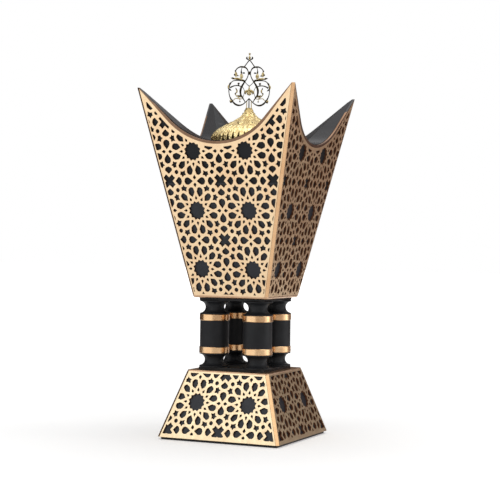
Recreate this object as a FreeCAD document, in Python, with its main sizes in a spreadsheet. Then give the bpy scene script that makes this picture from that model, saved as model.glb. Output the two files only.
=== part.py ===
import FreeCAD, Part
import math
import os
import Sketcher

# A mabkhara: a pierced bowl with four horns on four turned columns and a pierced foot.
# Millimetres, +Z up, origin on the table under the middle, front face towards -Y.

V = FreeCAD.Vector
doc = FreeCAD.newDocument("mabkhara")
dim = doc.addObject("Spreadsheet::Sheet", "Dim")

# Driving dimensions: alias, value, meaning
SIZES = [
    ("foot_plate_thickness", 2.0, "black plate that the burner stands on"),
    ("foot_plate_inset", 2.4, "foot plate's edge inside the base's edge"),
    ("base_height", 49.3, "pierced base, from the foot plate to the deck's top"),
    ("base_foot_half", 49.0, "half width of the base at its foot"),
    ("base_top_half", 32.9, "half width of the base at its top"),
    ("deck_thickness", 1.0, "gold deck on the base"),
    ("deck_edge_round", 0.5, "rounding of the deck's top edge"),
    ("column_section_height", 54.0, "between the base's deck and the bowl's bottom plate"),
    ("bowl_height", 155.0, "from the bowl's bottom plate to the virtual horn tips"),
    ("bowl_foot_half", 30.4, "half width of the bowl at its foot"),
    ("bowl_top_half", 63.0, "half width across the virtual horn tips"),
    ("bowl_bottom_thickness", 1.9, "gold plate under the bowl"),
    ("bowl_bottom_round", 1.7, "rounding of that plate's lower edge"),
    ("plate_corner_radius", 3.2, "corners of the deck and of the bowl's bottom plate"),
    ("sheet_thickness", 1.5, "pierced gold sheets"),
    ("corner_setback", 1.9, "flat corner strip, set back from the virtual corner"),
    ("seam_gap", 0.2, "seam between a pierced sheet and a corner strip"),
    ("tip_drop", 0.6, "blunt end of a horn under its virtual tip"),
    ("rim_depth", 43.2, "rim's low point under the horn tips, along the face"),
    ("rim_radius", 53.0, "arc in the middle of the rim"),
    ("rim_border", 2.25, "plain border between the rim and the openings"),
    ("rim_lip_height", 2.0, "gold lip above the pierced sheet"),
    ("rim_crown_height", 2.6, "black rim above the pierced sheet"),
    ("bowl_wall", 5.4, "wall of the bowl's lower body, with its sheet"),
    ("bowl_side_border", 2.9, "plain border beside the bowl's openings, from the virtual corner"),
    ("bowl_bottom_border", 2.9, "plain border under the bowl's openings"),
    ("bowl_cell_width", 41.7, "lattice cell across the bowl's face"),
    ("bowl_cell_height", 44.0, "lattice cell up the bowl's face"),
    ("bowl_star_height", 22.0, "first row of twelve-pointed stars above the bowl's foot"),
    ("base_wall", 6.5, "base wall with its sheet"),
    ("base_top_wall", 6.0, "thickness of the base's carcass under the deck"),
    ("base_side_border", 3.3, "plain border beside the base's openings, from the virtual corner"),
    ("base_bottom_border", 2.7, "plain border under the base's openings"),
    ("base_top_border", 2.2, "plain border above the base's openings, with the deck"),
    ("base_cell_width", 41.6, "lattice cell across the base's face"),
    ("base_cell_height", 43.3, "lattice cell up the base's face"),
    ("base_star_height", 27.8, "row of twelve-pointed stars above the base's foot"),
    ("smallest_opening", 1.2, "side of the smallest opening that is cut"),
    ("opening_growth", 0.15, "how far an opening is cut outside its drawn line"),
    ("funnel_depth", 62.3, "funnel's floor under the horn tips"),
    ("funnel_cone_depth", 41.3, "lower edge of the funnel's cone under the horn tips"),
    ("funnel_radius", 38.0, "straight well of the funnel, from its floor to its cone"),
    ("funnel_slope_angle", 49.2, "slope of the funnel's cone from the vertical, degrees"),
    ("shelf_thickness", 8.0, "shelf round the cup's hole"),
    ("bowl_floor_thickness", 5.0, "floor of the bowl's carcass, on the bottom plate"),
    ("column_plate_half", 26.3, "half width of the black plates under and over the columns"),
    ("column_plate_thickness", 2.1, "these plates"),
    ("column_plate_edge_round", 0.4, "rounding of their edge"),
    ("column_offset", 17.7, "column's axis from the middle"),
    ("column_flange", 0.8, "lowest and highest step of a column"),
    ("column_cove_height", 8.8, "hollow curve of a column"),
    ("column_lip", 0.7, "thin step between a hollow curve and a ring"),
    ("column_ring_height", 4.7, "copper-gold ring"),
    ("column_flange_radius", 11.1, "flanges and lips of a column"),
    ("column_ring_radius", 11.3, "ring's outer radius"),
    ("column_drum_radius", 10.9, "plain middle part of a column"),
    ("column_neck_radius", 7.05, "neck of a hollow curve"),
    ("ring_edge", 0.3, "chamfer of a ring"),
    ("rod_radius", 2.0, "tie rod through a column"),
    ("rod_clearance", 0.1, "round each tie rod and round the finial's stud"),
    ("thread_clearance", 0.05, "round a threaded end in its nut or hole"),
    ("rod_tail", 1.5, "rod past its nut"),
    ("nut_flats", 7.0, "across the flats of a rod nut"),
    ("nut_height", 3.2, "rod nut"),
    ("washer_radius", 4.5, "rod washer"),
    ("washer_thickness", 0.8, "rod washer"),
    ("boss_offset", 31.5, "foot screw's axis from the middle"),
    ("boss_radius", 5.0, "boss for a foot screw"),
    ("boss_height", 24.0, "boss for a foot screw"),
    ("screw_radius", 1.5, "foot screw"),
    ("screw_length", 12.0, "foot screw in its boss"),
    ("screw_head_radius", 2.7, "countersunk head"),
    ("screw_head_height", 1.4, "countersunk head"),
    ("screw_recess", 0.2, "head inside the foot plate's lower face"),
    ("screw_slot_width", 0.6, "slot in the head"),
    ("cup_hole_radius", 26.0, "hole in the funnel's floor"),
    ("cup_radius", 25.2, "outside of the charcoal cup"),
    ("cup_depth", 26.0, "cup under its flange"),
    ("cup_wall", 1.2, "cup's sheet"),
    ("cup_flange_radius", 31.0, "flange that hangs the cup"),
    ("cup_bottom_round", 4.0, "cup's rounded bottom edge"),
    ("seat_gap", 0.1, "between a lifted piece and its seat"),
    ("lid_radius", 28.5, "outside of the lid's skirt"),
    ("lid_wall", 1.0, "lid's sheet"),
    ("lid_skirt_height", 26.8, "straight skirt of the lid"),
    ("lid_height", 48.0, "lid from its seat to the top of the dome"),
    ("lid_shoulder_radius", 16.4, "where the dome turns from bulging to hollow"),
    ("lid_shoulder_height", 38.0, "height of that turn above the seat"),
    ("lid_bulge_radius", 36.0, "arc of the dome's bulging part"),
    ("lid_hollow_radius", 21.0, "arc of the dome's hollow part"),
    ("lid_neck_radius", 3.3, "top of the dome"),
    ("lid_lip_gap", 0.3, "between the cup's raised lip and the lid"),
    ("lid_lip_height", 2.0, "cup's raised lip that centres the lid"),
    ("slot_width", 1.9, "smoke slot in the lid's skirt"),
    ("slot_foot", 6.0, "smoke slot's lower end above the seat"),
    ("slot_top", 28.6, "straight part of a smoke slot ends here above the seat"),
    ("slot_count", 40, "smoke slots round the lid"),
    ("lid_turn_angle", 24.2, "how far the lid is turned from the front, degrees"),
    ("collar_radius", 2.8, "collar on the dome"),
    ("collar_height", 0.9, "collar on the dome"),
    ("collar_round", 0.4, "rounded edge of the collar"),
    ("finial_foot_radius", 2.5, "round foot of the finial"),
    ("finial_foot_height", 0.5, "round foot of the finial"),
    ("stem_rod_radius", 0.55, "each of the finial's three stem rods"),
    ("stem_rod_spacing", 1.9, "between the stem rods' axes"),
    ("stem_height", 7.8, "stem from the collar to the scrollwork's lowest joint"),
    ("stud_radius", 1.25, "stud under the finial"),
    ("stud_tail", 0.8, "stud past its nut"),
    ("stud_nut_flats", 4.5, "across the flats of the finial's nut"),
    ("stud_nut_height", 2.0, "finial's nut"),
    ("stud_washer_radius", 2.7, "finial's washer"),
    ("stud_washer_thickness", 0.5, "finial's washer"),
    ("finial_height", 34.7, "scrollwork from its lowest joint to its top"),
    ("finial_thickness", 1.6, "scrollwork from front to back"),
    ("finial_stroke", 1.2, "width of a main scroll"),
    ("finial_fine_stroke", 0.8, "width of a fine scroll"),
    ("overrun", 5.0, "how far a cutting shape passes its work"),
]

for row, (alias, value, meaning) in enumerate(SIZES, 1):
    dim.set(f"A{row}", meaning)
    dim.set(f"B{row}", str(value))
    dim.setAlias(f"B{row}", alias)
doc.recompute()


def number(text):
    """Value of an expression in the sheet's names."""
    return float(dim.evalExpression(text))


def bind(item, **texts):
    """Bind properties of an object to expressions; a double underscore stands for a dot."""
    for name, text in texts.items():
        item.setExpression(name.replace("__", "."), text)
    return item


def add(kind, name, **texts):
    """Add an object with a label and bound properties."""
    item = doc.addObject(kind, name)
    item.Label = name
    return bind(item, **texts)


# Heights from the table, as expressions
BASE_FOOT = "Dim.foot_plate_thickness"
BASE_TOP = f"({BASE_FOOT} + Dim.base_height)"
DECK_FOOT = f"({BASE_TOP} - Dim.deck_thickness)"
BASE_CEILING = f"({DECK_FOOT} - Dim.base_top_wall)"
COLUMN_FOOT = f"({BASE_TOP} + Dim.column_plate_thickness)"
BOWL_FOOT = f"({BASE_TOP} + Dim.column_section_height)"
COLUMN_TOP = f"({BOWL_FOOT} - Dim.column_plate_thickness)"
CARCASS_FOOT = f"({BOWL_FOOT} + Dim.bowl_bottom_thickness)"
CHAMBER_FLOOR = f"({CARCASS_FOOT} + Dim.bowl_floor_thickness)"
HORN_TIP = f"({BOWL_FOOT} + Dim.bowl_height)"
HORN_END = f"({HORN_TIP} - Dim.tip_drop)"
FUNNEL_FLOOR = f"({HORN_TIP} - Dim.funnel_depth)"
CONE_FOOT = f"({HORN_TIP} - Dim.funnel_cone_depth)"
CHAMBER_CEILING = f"({FUNNEL_FLOOR} - Dim.shelf_thickness)"
CUP_SEAT = f"({FUNNEL_FLOOR} + Dim.seat_gap)"
LID_SEAT = f"({CUP_SEAT} + Dim.cup_wall + Dim.seat_gap)"
LID_TOP = f"({LID_SEAT} + Dim.lid_height)"
COLLAR_TOP = f"({LID_TOP} + Dim.collar_height)"

BASE_LEAN = "((Dim.base_top_half - Dim.base_foot_half) / Dim.base_height)"
BOWL_LEAN = "((Dim.bowl_top_half - Dim.bowl_foot_half) / Dim.bowl_height)"
BASE_SKEW = f"sqrt(1 + pow({BASE_LEAN}; 2))"
BOWL_SKEW = f"sqrt(1 + pow({BOWL_LEAN}; 2))"


def base_half(height, inset="0"):
    """Half width of the base at a height, moved in by an inset measured square to the face."""
    return f"(Dim.base_foot_half + {BASE_LEAN} * ({height} - {BASE_FOOT}) - ({inset}) * {BASE_SKEW})"


def bowl_half(height, inset="0"):
    """Half width of the bowl at a height, moved in by an inset measured square to the face."""
    return f"(Dim.bowl_foot_half + {BOWL_LEAN} * ({height} - {BOWL_FOOT}) - ({inset}) * {BOWL_SKEW})"


# Simple solids

def frustum(name, half, inset, low, high):
    """Square tapered block between two heights, inset from the base's or the bowl's faces."""
    block = add("Part::Wedge", name, Ymin=low, Ymax=high)
    at_low = half(low, inset)
    at_high = half(high, inset)
    bind(block, Xmin=f"-{at_low}", Zmin=f"-{at_low}", Xmax=at_low, Zmax=at_low)
    bind(block, X2min=f"-{at_high}", Z2min=f"-{at_high}", X2max=at_high, Z2max=at_high)
    block.Placement = FreeCAD.Placement(V(), FreeCAD.Rotation(V(1, 0, 0), 90))
    return block


def cylinder(name, radius, low, height, x="0", y="0"):
    return add("Part::Cylinder", name, Radius=radius, Height=height, Placement__Base__x=x,
               Placement__Base__y=y, Placement__Base__z=low)


def cone(name, low_radius, high_radius, low, height, x="0", y="0"):
    return add("Part::Cone", name, Radius1=low_radius, Radius2=high_radius, Height=height,
               Placement__Base__x=x, Placement__Base__y=y, Placement__Base__z=low)


def cut(name, base, tool):
    item = add("Part::Cut", name)
    item.Base = base
    item.Tool = tool
    return item


def fuse(name, shapes):
    item = add("Part::MultiFuse", name)
    item.Shapes = shapes
    return item


def common(name, shapes):
    item = add("Part::MultiCommon", name)
    item.Shapes = shapes
    return item


def group(name, shapes):
    """Separate solids of one node."""
    item = add("Part::Compound", name)
    item.Links = shapes
    return item


# Corners in order round the axis: name, sign along X, sign along Y
CORNERS = [
    ("front_right", "", "-"),
    ("back_right", "", ""),
    ("back_left", "-", ""),
    ("front_left", "-", "-"),
]
SIDES = ["front", "right", "back", "left"]


def at_corners(make, offset):
    """Make one object at each corner, an offset from the axis along X and along Y."""
    return [make(corner, f"{sx}{offset}", f"{sy}{offset}") for corner, sx, sy in CORNERS]


def rod_holes(name, low, height):
    """The four holes for the tie rods, as one cutting shape."""
    radius = "Dim.rod_radius + Dim.rod_clearance"
    return fuse(name, at_corners(lambda corner, x, y: cylinder(f"{name}_{corner}", radius, low, height, x, y),
                                 "Dim.column_offset"))


# Sketched bodies

def origin_plane(body, role):
    return [item for item in body.Origin.OriginFeatures if item.Role == role][0]


def side_geometry(start, end, arc):
    """Straight side, or an arc whose radius and turning side are given."""
    if arc is None:
        return Part.LineSegment(start, end)
    radius, side = arc
    chord = end - start
    left = V(-chord.y, chord.x, 0).normalize()
    rise = number(radius) - math.sqrt(number(radius) ** 2 - chord.Length ** 2 / 4)
    return Part.Arc(start, (start + end) * 0.5 + left * (rise * side), end)


def outline_sketch(body, name, corners, arcs=None, plane="XZ_Plane"):
    """Closed outline through corners given as pairs of expressions.

    arcs gives, for the side that starts at a corner, its radius, and +1 where it bulges to the left
    of the straight line to the next corner or -1 where it bulges to the right.
    """
    arcs = arcs or {}
    sketch = body.newObject("Sketcher::SketchObject", name)
    sketch.AttachmentSupport = [(origin_plane(body, plane), "")]
    sketch.MapMode = "FlatFace"
    spots = [V(number(x), number(y), 0) for x, y in corners]
    count = len(spots)
    ends = []
    for i, start in enumerate(spots):
        end = spots[(i + 1) % count]
        sketch.addGeometry(side_geometry(start, end, arcs.get(i)), False)
        first = sketch.getPoint(i, 1)
        ends.append((1, 2) if first.distanceToPoint(start) < first.distanceToPoint(end) else (2, 1))
    for i, (x, y) in enumerate(corners):
        following = (i + 1) % count
        sketch.addConstraint(Sketcher.Constraint("Coincident", i, ends[i][1], following, ends[following][0]))
        for kind, text, value in (("DistanceX", x, spots[i].x), ("DistanceY", y, spots[i].y)):
            index = sketch.addConstraint(Sketcher.Constraint(kind, -1, 1, i, ends[i][0], value))
            sketch.setExpression(f"Constraints[{index}]", text)
        if i in arcs:
            radius = arcs[i][0]
            index = sketch.addConstraint(Sketcher.Constraint("Radius", i, number(radius)))
            sketch.setExpression(f"Constraints[{index}]", radius)
    return sketch


def turned(name, corners, arcs=None, x="0", y="0"):
    """Body turned about its own Z axis from a half outline of radii and heights."""
    body = add("PartDesign::Body", name, Placement__Base__x=x, Placement__Base__y=y)
    sketch = outline_sketch(body, f"{name}_outline", corners, arcs)
    turn = body.newObject("PartDesign::Revolution", f"{name}_turn")
    turn.Profile = sketch
    turn.ReferenceAxis = (sketch, ["V_Axis"])
    turn.Angle = 360
    return body


def square_plate(name, half, low, thickness, edge, at_top=True, corner=None):
    """Square plate, its corners rounded where a radius is given and its upper or lower edge rounded,
    with the four holes for the tie rods."""
    body = add("PartDesign::Body", f"{name}_blank", Placement__Base__z=low)
    sketch = outline_sketch(body, f"{name}_outline", [(f"-{half}", f"-{half}"), (half, f"-{half}"),
                                                      (half, half), (f"-{half}", half)], plane="XY_Plane")
    pad = body.newObject("PartDesign::Pad", f"{name}_pad")
    pad.Profile = sketch
    bind(pad, Length=thickness)
    doc.recompute()
    last = pad
    if corner:
        upright = [f"Edge{i}" for i, edge_shape in enumerate(pad.Shape.Edges, 1)
                   if edge_shape.BoundBox.ZLength > edge_shape.BoundBox.XLength]
        last = body.newObject("PartDesign::Fillet", f"{name}_corners")
        last.Base = (pad, upright)
        bind(last, Radius=corner)
        doc.recompute()
    box = last.Shape.BoundBox
    level = box.ZMax if at_top else box.ZMin
    rim = [f"Edge{i}" for i, edge_shape in enumerate(last.Shape.Edges, 1)
           if edge_shape.BoundBox.ZLength < box.ZLength / 2
           and abs(edge_shape.CenterOfMass.z - level) < box.ZLength / 2]
    worked = body.newObject("PartDesign::Fillet", f"{name}_edge")
    worked.Base = (last, rim)
    bind(worked, Radius=edge)
    doc.recompute()
    holes = rod_holes(f"{name}_holes", f"{low} - Dim.overrun", f"{thickness} + 2 * Dim.overrun")
    return cut(name, body, holes)


# Foot and base

def foot_plate():
    """Plate with four countersunk holes."""
    half = f"({base_half(BASE_FOOT)} - Dim.foot_plate_inset)"
    slab = add("Part::Box", "foot_slab", Length=f"2 * {half}", Width=f"2 * {half}",
               Height="Dim.foot_plate_thickness",
               Placement__Base__x=f"-{half}", Placement__Base__y=f"-{half}")
    head_top = "Dim.screw_recess + Dim.screw_head_height"

    def sink(corner, x, y):
        head = cone(f"sink_head_{corner}", "Dim.screw_head_radius", "Dim.screw_radius", "Dim.screw_recess",
                    "Dim.screw_head_height", x, y)
        mouth = cylinder(f"sink_mouth_{corner}", "Dim.screw_head_radius", "-Dim.overrun",
                         "Dim.overrun + Dim.screw_recess", x, y)
        shank = cylinder(f"sink_shank_{corner}", "Dim.screw_radius + Dim.thread_clearance", head_top,
                         "Dim.overrun", x, y)
        return fuse(f"sink_{corner}", [head, mouth, shank])

    return cut("foot_plate", slab, fuse("foot_holes", at_corners(sink, "Dim.boss_offset")))


def foot_screws():
    head_top = "(Dim.screw_recess + Dim.screw_head_height)"

    def screw(corner, x, y):
        head = cone(f"screw_head_{corner}", "Dim.screw_head_radius", "Dim.screw_radius", "Dim.screw_recess",
                    "Dim.screw_head_height", x, y)
        shank = cylinder(f"screw_shank_{corner}", "Dim.screw_radius", head_top,
                         f"Dim.foot_plate_thickness + Dim.screw_length - {head_top}", x, y)
        slot = add("Part::Box", f"screw_slot_{corner}", Length="2 * Dim.screw_head_radius",
                   Width="Dim.screw_slot_width", Height="Dim.screw_head_height / 2",
                   Placement__Base__x=f"{x} - Dim.screw_head_radius",
                   Placement__Base__y=f"{y} - Dim.screw_slot_width / 2",
                   Placement__Base__z="Dim.screw_recess")
        return cut(f"screw_{corner}", fuse(f"screw_blank_{corner}", [head, shank]), slot)

    return group("foot_screws", at_corners(screw, "Dim.boss_offset"))


def base_carcass():
    """Hollow tapered body behind the base's sheets, open below, with bosses for the foot screws."""
    outer = frustum("base_block", base_half, "Dim.sheet_thickness", BASE_FOOT, DECK_FOOT)
    inner = frustum("base_hollow", base_half, "Dim.base_wall", f"({BASE_FOOT} - Dim.overrun)", BASE_CEILING)
    shell = cut("base_shell", outer, inner)
    bosses = at_corners(lambda corner, x, y: cylinder(f"boss_{corner}", "Dim.boss_radius", BASE_FOOT,
                                                      "Dim.boss_height", x, y), "Dim.boss_offset")
    room = frustum("boss_room", base_half, "Dim.sheet_thickness", BASE_FOOT, DECK_FOOT)
    inside = common("bosses_inside", [room, fuse("bosses", bosses)])
    pilots = at_corners(lambda corner, x, y: cylinder(
        f"pilot_{corner}", "Dim.screw_radius + Dim.thread_clearance", f"{BASE_FOOT} - Dim.overrun",
        "2 * Dim.overrun + Dim.screw_length", x, y), "Dim.boss_offset")
    rods = rod_holes("base_rod_holes", f"{BASE_CEILING} - Dim.overrun",
                     "Dim.base_top_wall + 2 * Dim.overrun")
    return cut("base_carcass", fuse("base_with_bosses", [shell, inside]),
               fuse("base_holes", pilots + [rods]))


# Columns

def column_pieces(corner, x, y):
    """Foot spool, ring, drum, ring and head spool of one column, bottom to top."""
    bore = "(Dim.rod_radius + Dim.rod_clearance)"
    flange = "Dim.column_flange_radius"
    cove = "Dim.column_cove_height"
    cove_depth = f"({flange} - Dim.column_neck_radius)"
    cove_radius = f"((pow({cove} / 2; 2) + pow({cove_depth}; 2)) / (2 * {cove_depth}))"
    spool_height = f"(Dim.column_flange + {cove} + Dim.column_lip)"
    foot_end = f"({COLUMN_FOOT} + {spool_height})"
    head_start = f"({COLUMN_TOP} - {spool_height})"
    drum_low = f"({foot_end} + Dim.column_ring_height)"
    drum_high = f"({head_start} - Dim.column_ring_height)"

    def spool(name, low, first_step):
        cove_low = f"{low} + {first_step}"
        high = f"({low} + {spool_height})"
        return turned(name, [(bore, low), (flange, low), (flange, cove_low), (flange, f"{cove_low} + {cove}"),
                             (flange, high), (bore, high)], {2: (cove_radius, 1)}, x, y)

    def ring(name, low):
        edge = "Dim.ring_edge"
        outer = "Dim.column_ring_radius"
        high = f"({low} + Dim.column_ring_height)"
        return turned(name, [(bore, low), (f"{outer} - {edge}", low), (outer, f"{low} + {edge}"),
                             (outer, f"{high} - {edge}"), (f"{outer} - {edge}", high), (bore, high)],
                      None, x, y)

    drum_radius = "Dim.column_drum_radius"
    return [
        spool(f"column_foot_{corner}", COLUMN_FOOT, "Dim.column_flange"),
        ring(f"column_lower_ring_{corner}", foot_end),
        turned(f"column_drum_{corner}", [(bore, drum_low), (drum_radius, drum_low), (drum_radius, drum_high),
                                         (bore, drum_high)], None, x, y),
        ring(f"column_upper_ring_{corner}", drum_high),
        spool(f"column_head_{corner}", head_start, "Dim.column_lip"),
    ]


# Tie rods with their washers and nuts

def washer(name, radius, bore, low, thickness, x="0", y="0"):
    return cut(name, cylinder(f"{name}_disc", radius, low, thickness, x, y),
               cylinder(f"{name}_bore", bore, low, thickness, x, y))


def nut(name, flats, bore, low, height, x="0", y="0"):
    prism = add("Part::Prism", f"{name}_hexagon", Circumradius=f"{flats} / sqrt(3)", Height=height,
                Placement__Base__x=x, Placement__Base__y=y, Placement__Base__z=low)
    prism.Polygon = 6
    return cut(name, prism, cylinder(f"{name}_bore", bore, low, height, x, y))


def rod_hardware():
    """Rods through the columns, with a washer and a nut under the deck and on the bowl's floor."""
    lower_washer = f"({BASE_CEILING} - Dim.washer_thickness)"
    lower_nut = f"({lower_washer} - Dim.nut_height)"
    upper_nut = f"({CHAMBER_FLOOR} + Dim.washer_thickness)"
    rod_low = f"({lower_nut} - Dim.rod_tail)"
    rod_length = f"({upper_nut} + Dim.nut_height + Dim.rod_tail - {rod_low})"

    def rods(corner, x, y):
        return cylinder(f"rod_{corner}", "Dim.rod_radius", rod_low, rod_length, x, y)

    def washers(name, low):
        bore = "Dim.rod_radius + Dim.rod_clearance"
        return group(name, at_corners(lambda corner, x, y: washer(
            f"{name}_{corner}", "Dim.washer_radius", bore, low, "Dim.washer_thickness", x, y),
            "Dim.column_offset"))

    def nuts(name, low):
        bore = "Dim.rod_radius + Dim.thread_clearance"
        return group(name, at_corners(lambda corner, x, y: nut(
            f"{name}_{corner}", "Dim.nut_flats", bore, low, "Dim.nut_height", x, y), "Dim.column_offset"))

    return [
        group("tie_rods", at_corners(rods, "Dim.column_offset")),
        washers("lower_rod_washers", lower_washer),
        nuts("lower_rod_nuts", lower_nut),
        washers("upper_rod_washers", CHAMBER_FLOOR),
        nuts("upper_rod_nuts", upper_nut),
    ]


# Sloping faces. What lies on a face is drawn flat, with X across it, Y up its slope from its foot and
# Z out of it, and is then tilted and turned to its side.

def computed(name, shape, placement=None):
    item = doc.addObject("Part::Feature", name)
    item.Label = name
    item.Shape = shape
    if placement:
        item.Placement = placement
    return item


class Slope:
    """One sloping face: its half width up the slope, and its place on a side."""

    def __init__(self, foot_half, top_half, height, foot_level):
        self.foot_half = number(foot_half)
        self.foot_level = number(foot_level)
        self.lean = math.atan2(number(top_half) - number(foot_half), number(height))
        self.spread = math.sin(self.lean)
        self.length = number(height) / math.cos(self.lean)

    def half(self, v):
        return self.foot_half + self.spread * v

    def up_to(self, level):
        """Distance up the slope of a height from the table."""
        return (number(level) - self.foot_level) / math.cos(self.lean)

    def placement(self, turns):
        """From the flat drawing to the face, after a number of quarter turns from the front."""
        stand = FreeCAD.Rotation(V(1, 0, 0), 90 + math.degrees(self.lean))
        seat = FreeCAD.Placement(V(0, -self.foot_half, self.foot_level), stand)
        return FreeCAD.Placement(V(), FreeCAD.Rotation(V(0, 0, 1), 90 * turns)).multiply(seat)


BASE_SLOPE = Slope("Dim.base_foot_half", "Dim.base_top_half", "Dim.base_height", BASE_FOOT)
BOWL_SLOPE = Slope("Dim.bowl_foot_half", "Dim.bowl_top_half", "Dim.bowl_height", BOWL_FOOT)
SHEET = number("Dim.sheet_thickness")
EDGE_INSET = number("Dim.corner_setback + Dim.seam_gap")
HORN_CAP = BOWL_SLOPE.up_to(HORN_END)


def mirror_x(point):
    return V(-point.x, point.y, 0)


def lines(points):
    """Straight edges through points, without the closing one."""
    return [Part.LineSegment(a, b).toShape() for a, b in zip(points, points[1:])]


def closed(points):
    return Part.Wire(Part.makePolygon(points + points[:1]))


def wire(edges):
    return Part.Wire(Part.__sortEdges__(edges))


# Part of a raise of the rim that is left at the horns' tips
TIP_RAISE_SHARE = 0.25


class Rim:
    """Curve of the bowl's rim on its flat face: an arc between two straight flares.

    raised moves the arc square to itself, up from the pierced sheet's edge. The flares of a converging
    rim run to the horns' tips, where little of the raise is left, and others stay square to it too.
    """

    def __init__(self, raised, converging=True):
        sheet_radius = number("Dim.rim_radius")
        self.radius = sheet_radius - raised
        self.middle = BOWL_SLOPE.length - number("Dim.rim_depth") + sheet_radius
        tip = BOWL_SLOPE.half(BOWL_SLOPE.length) - number("Dim.corner_setback / 2")
        drop = self.middle - BOWL_SLOPE.length
        tangent_radius = sheet_radius
        if converging:
            drop -= raised * TIP_RAISE_SHARE
            tangent_radius = self.radius
        angle = math.atan2(drop, tip) + math.acos(tangent_radius / math.hypot(drop, tip))
        self.steep = 1 / math.tan(angle)
        self.turn = V(self.radius * math.cos(angle), self.middle - self.radius * math.sin(angle), 0)

    def flare(self, u):
        """Height of the straight flare at a distance across."""
        return self.turn.y + self.steep * (u - self.turn.x)

    def at(self, u):
        """Height of the rim at a distance across."""
        if abs(u) > self.turn.x:
            return self.flare(abs(u))
        return self.middle - math.sqrt(self.radius ** 2 - u ** 2)

    def ends(self, inset):
        """Right end of the rim, inset from the face's edge: one point, or two along the horn's cap."""
        room = BOWL_SLOPE.foot_half - inset - self.turn.x
        v = (self.turn.y + self.steep * room) / (1 - self.steep * BOWL_SLOPE.spread)
        if v <= HORN_CAP:
            return [V(BOWL_SLOPE.half(v) - inset, v, 0)]
        return [V(self.turn.x + (HORN_CAP - self.turn.y) / self.steep, HORN_CAP, 0),
                V(BOWL_SLOPE.half(HORN_CAP) - inset, HORN_CAP, 0)]

    def edges(self, right):
        """Rim's edges from a point on the right flare to its mirror image on the left flare."""
        low = V(0, self.middle - self.radius, 0)
        turn_left = mirror_x(self.turn)
        return [Part.LineSegment(right, self.turn).toShape(),
                Part.Arc(self.turn, low, turn_left).toShape(),
                Part.LineSegment(turn_left, mirror_x(right)).toShape()]


# Openings of one lattice cell. A place is a share of the cell's width and of its height, from the
# middle of a twelve-pointed star, and each motif is repeated by the cell's eight mirror images.

def star_shares(middle, tips, notches, count, turn):
    """Star whose tips lie at a reach and start at an angle in degrees."""
    points = []
    for i in range(2 * count):
        reach = notches if i % 2 else tips
        angle = math.radians(turn) + math.pi * i / count
        points.append((middle[0] + reach * math.cos(angle), middle[1] + reach * math.sin(angle)))
    return points


def kite_share(reach_in, reach_wide, reach_out, half_width, turn):
    """Kite that points away from the twelve-pointed star, at an angle in degrees."""
    x = math.cos(math.radians(turn))
    y = math.sin(math.radians(turn))
    spots = [(reach_in, 0), (reach_wide, -half_width), (reach_out, 0), (reach_wide, half_width)]
    return [(r * x - s * y, r * y + s * x) for r, s in spots]


def mirrored(half):
    """Outline that is symmetric about the line half a cell from the star."""
    return half + [(1 - x, y) for x, y in reversed(half) if x != 0.5]


def about_diagonal(half):
    """Outline that is symmetric about the cell's diagonal."""
    return half + [(y, x) for x, y in reversed(half) if x != y]


def square_star(notch, deep, short, long):
    """Eight-pointed star at the cell's corner: four shallow notches and four deep ones."""
    quarter = [(notch, 0), (long, short), (deep, deep), (short, long)]
    points = []
    for _ in range(4):
        points += quarter
        quarter = [(-y, x) for x, y in quarter]
    return [(0.5 + x, 0.5 + y) for x, y in points]


MOTIF_SHARES = [
    star_shares((0, 0), 0.160, 0.133, 12, 15),
    kite_share(0.186, 0.208, 0.252, 0.021, 0),
    kite_share(0.186, 0.208, 0.246, 0.021, 30),
    [(0.235, 0.064), (0.290, 0.034), (0.322, 0.024), (0.384, 0.047), (0.394, 0.080), (0.384, 0.111),
     (0.352, 0.136), (0.290, 0.133), (0.262, 0.112)],
    about_diagonal([(0.166, 0.166), (0.234, 0.171), (0.257, 0.184), (0.292, 0.234), (0.289, 0.256),
                    (0.276, 0.276)]),
    [(0.398, 0.0), (0.438, -0.027), (0.452, -0.022), (0.470, 0.0), (0.452, 0.022), (0.438, 0.027)],
    mirrored([(0.5, 0.042), (0.450, 0.105), (0.4405, 0.130), (0.443, 0.165), (0.462, 0.188), (0.5, 0.201)]),
    [(0.324, 0.180), (0.362, 0.183), (0.394, 0.167), (0.402, 0.206), (0.432, 0.230), (0.402, 0.244),
     (0.387, 0.275), (0.362, 0.262), (0.340, 0.265), (0.342, 0.224)],
    mirrored([(0.5, 0.255), (0.455, 0.270), (0.434, 0.296), (0.437, 0.318), (0.5, 0.373)]),
    star_shares((0.346, 0.346), 0.036, 0.0335, 4, 0),
    square_star(0.062, 0.082, 0.059, 0.114),
]


def images(shares):
    """The eight mirror images of an outline about a star's middle."""
    swapped = [(b, a) for a, b in shares]
    return [[(sx * a, sy * b) for a, b in outline]
            for outline in (shares, swapped) for sx in (1, -1) for sy in (1, -1)]


def near(outline):
    """Middle of an outline, rounded so that the same opening is known again."""
    return tuple(round(sum(axis) / len(outline), 2) + 0.0 for axis in zip(*outline))


def star_openings():
    """Every opening round one twelve-pointed star, each once."""
    found = {}
    for shares in MOTIF_SHARES:
        for outline in images(shares):
            found.setdefault(near(outline), outline)
    return list(found.values())


def lattice_openings(width, height, first_row, columns, rows):
    """Outlines of a lattice whose stars stand half a cell either side of the middle."""
    found = {}
    for i in range(-columns, columns):
        for j in range(-1, rows):
            for outline in star_openings():
                moved = [(a + i + 0.5, b + j) for a, b in outline]
                found.setdefault(near(moved), moved)
    return [[V(a * width, first_row + b * height, 0) for a, b in outline] for outline in found.values()]


def grown(outline):
    """Wire of an opening, a little outside its drawn line."""
    return closed(outline).makeOffset2D(number("Dim.opening_growth"), join=2)


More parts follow.
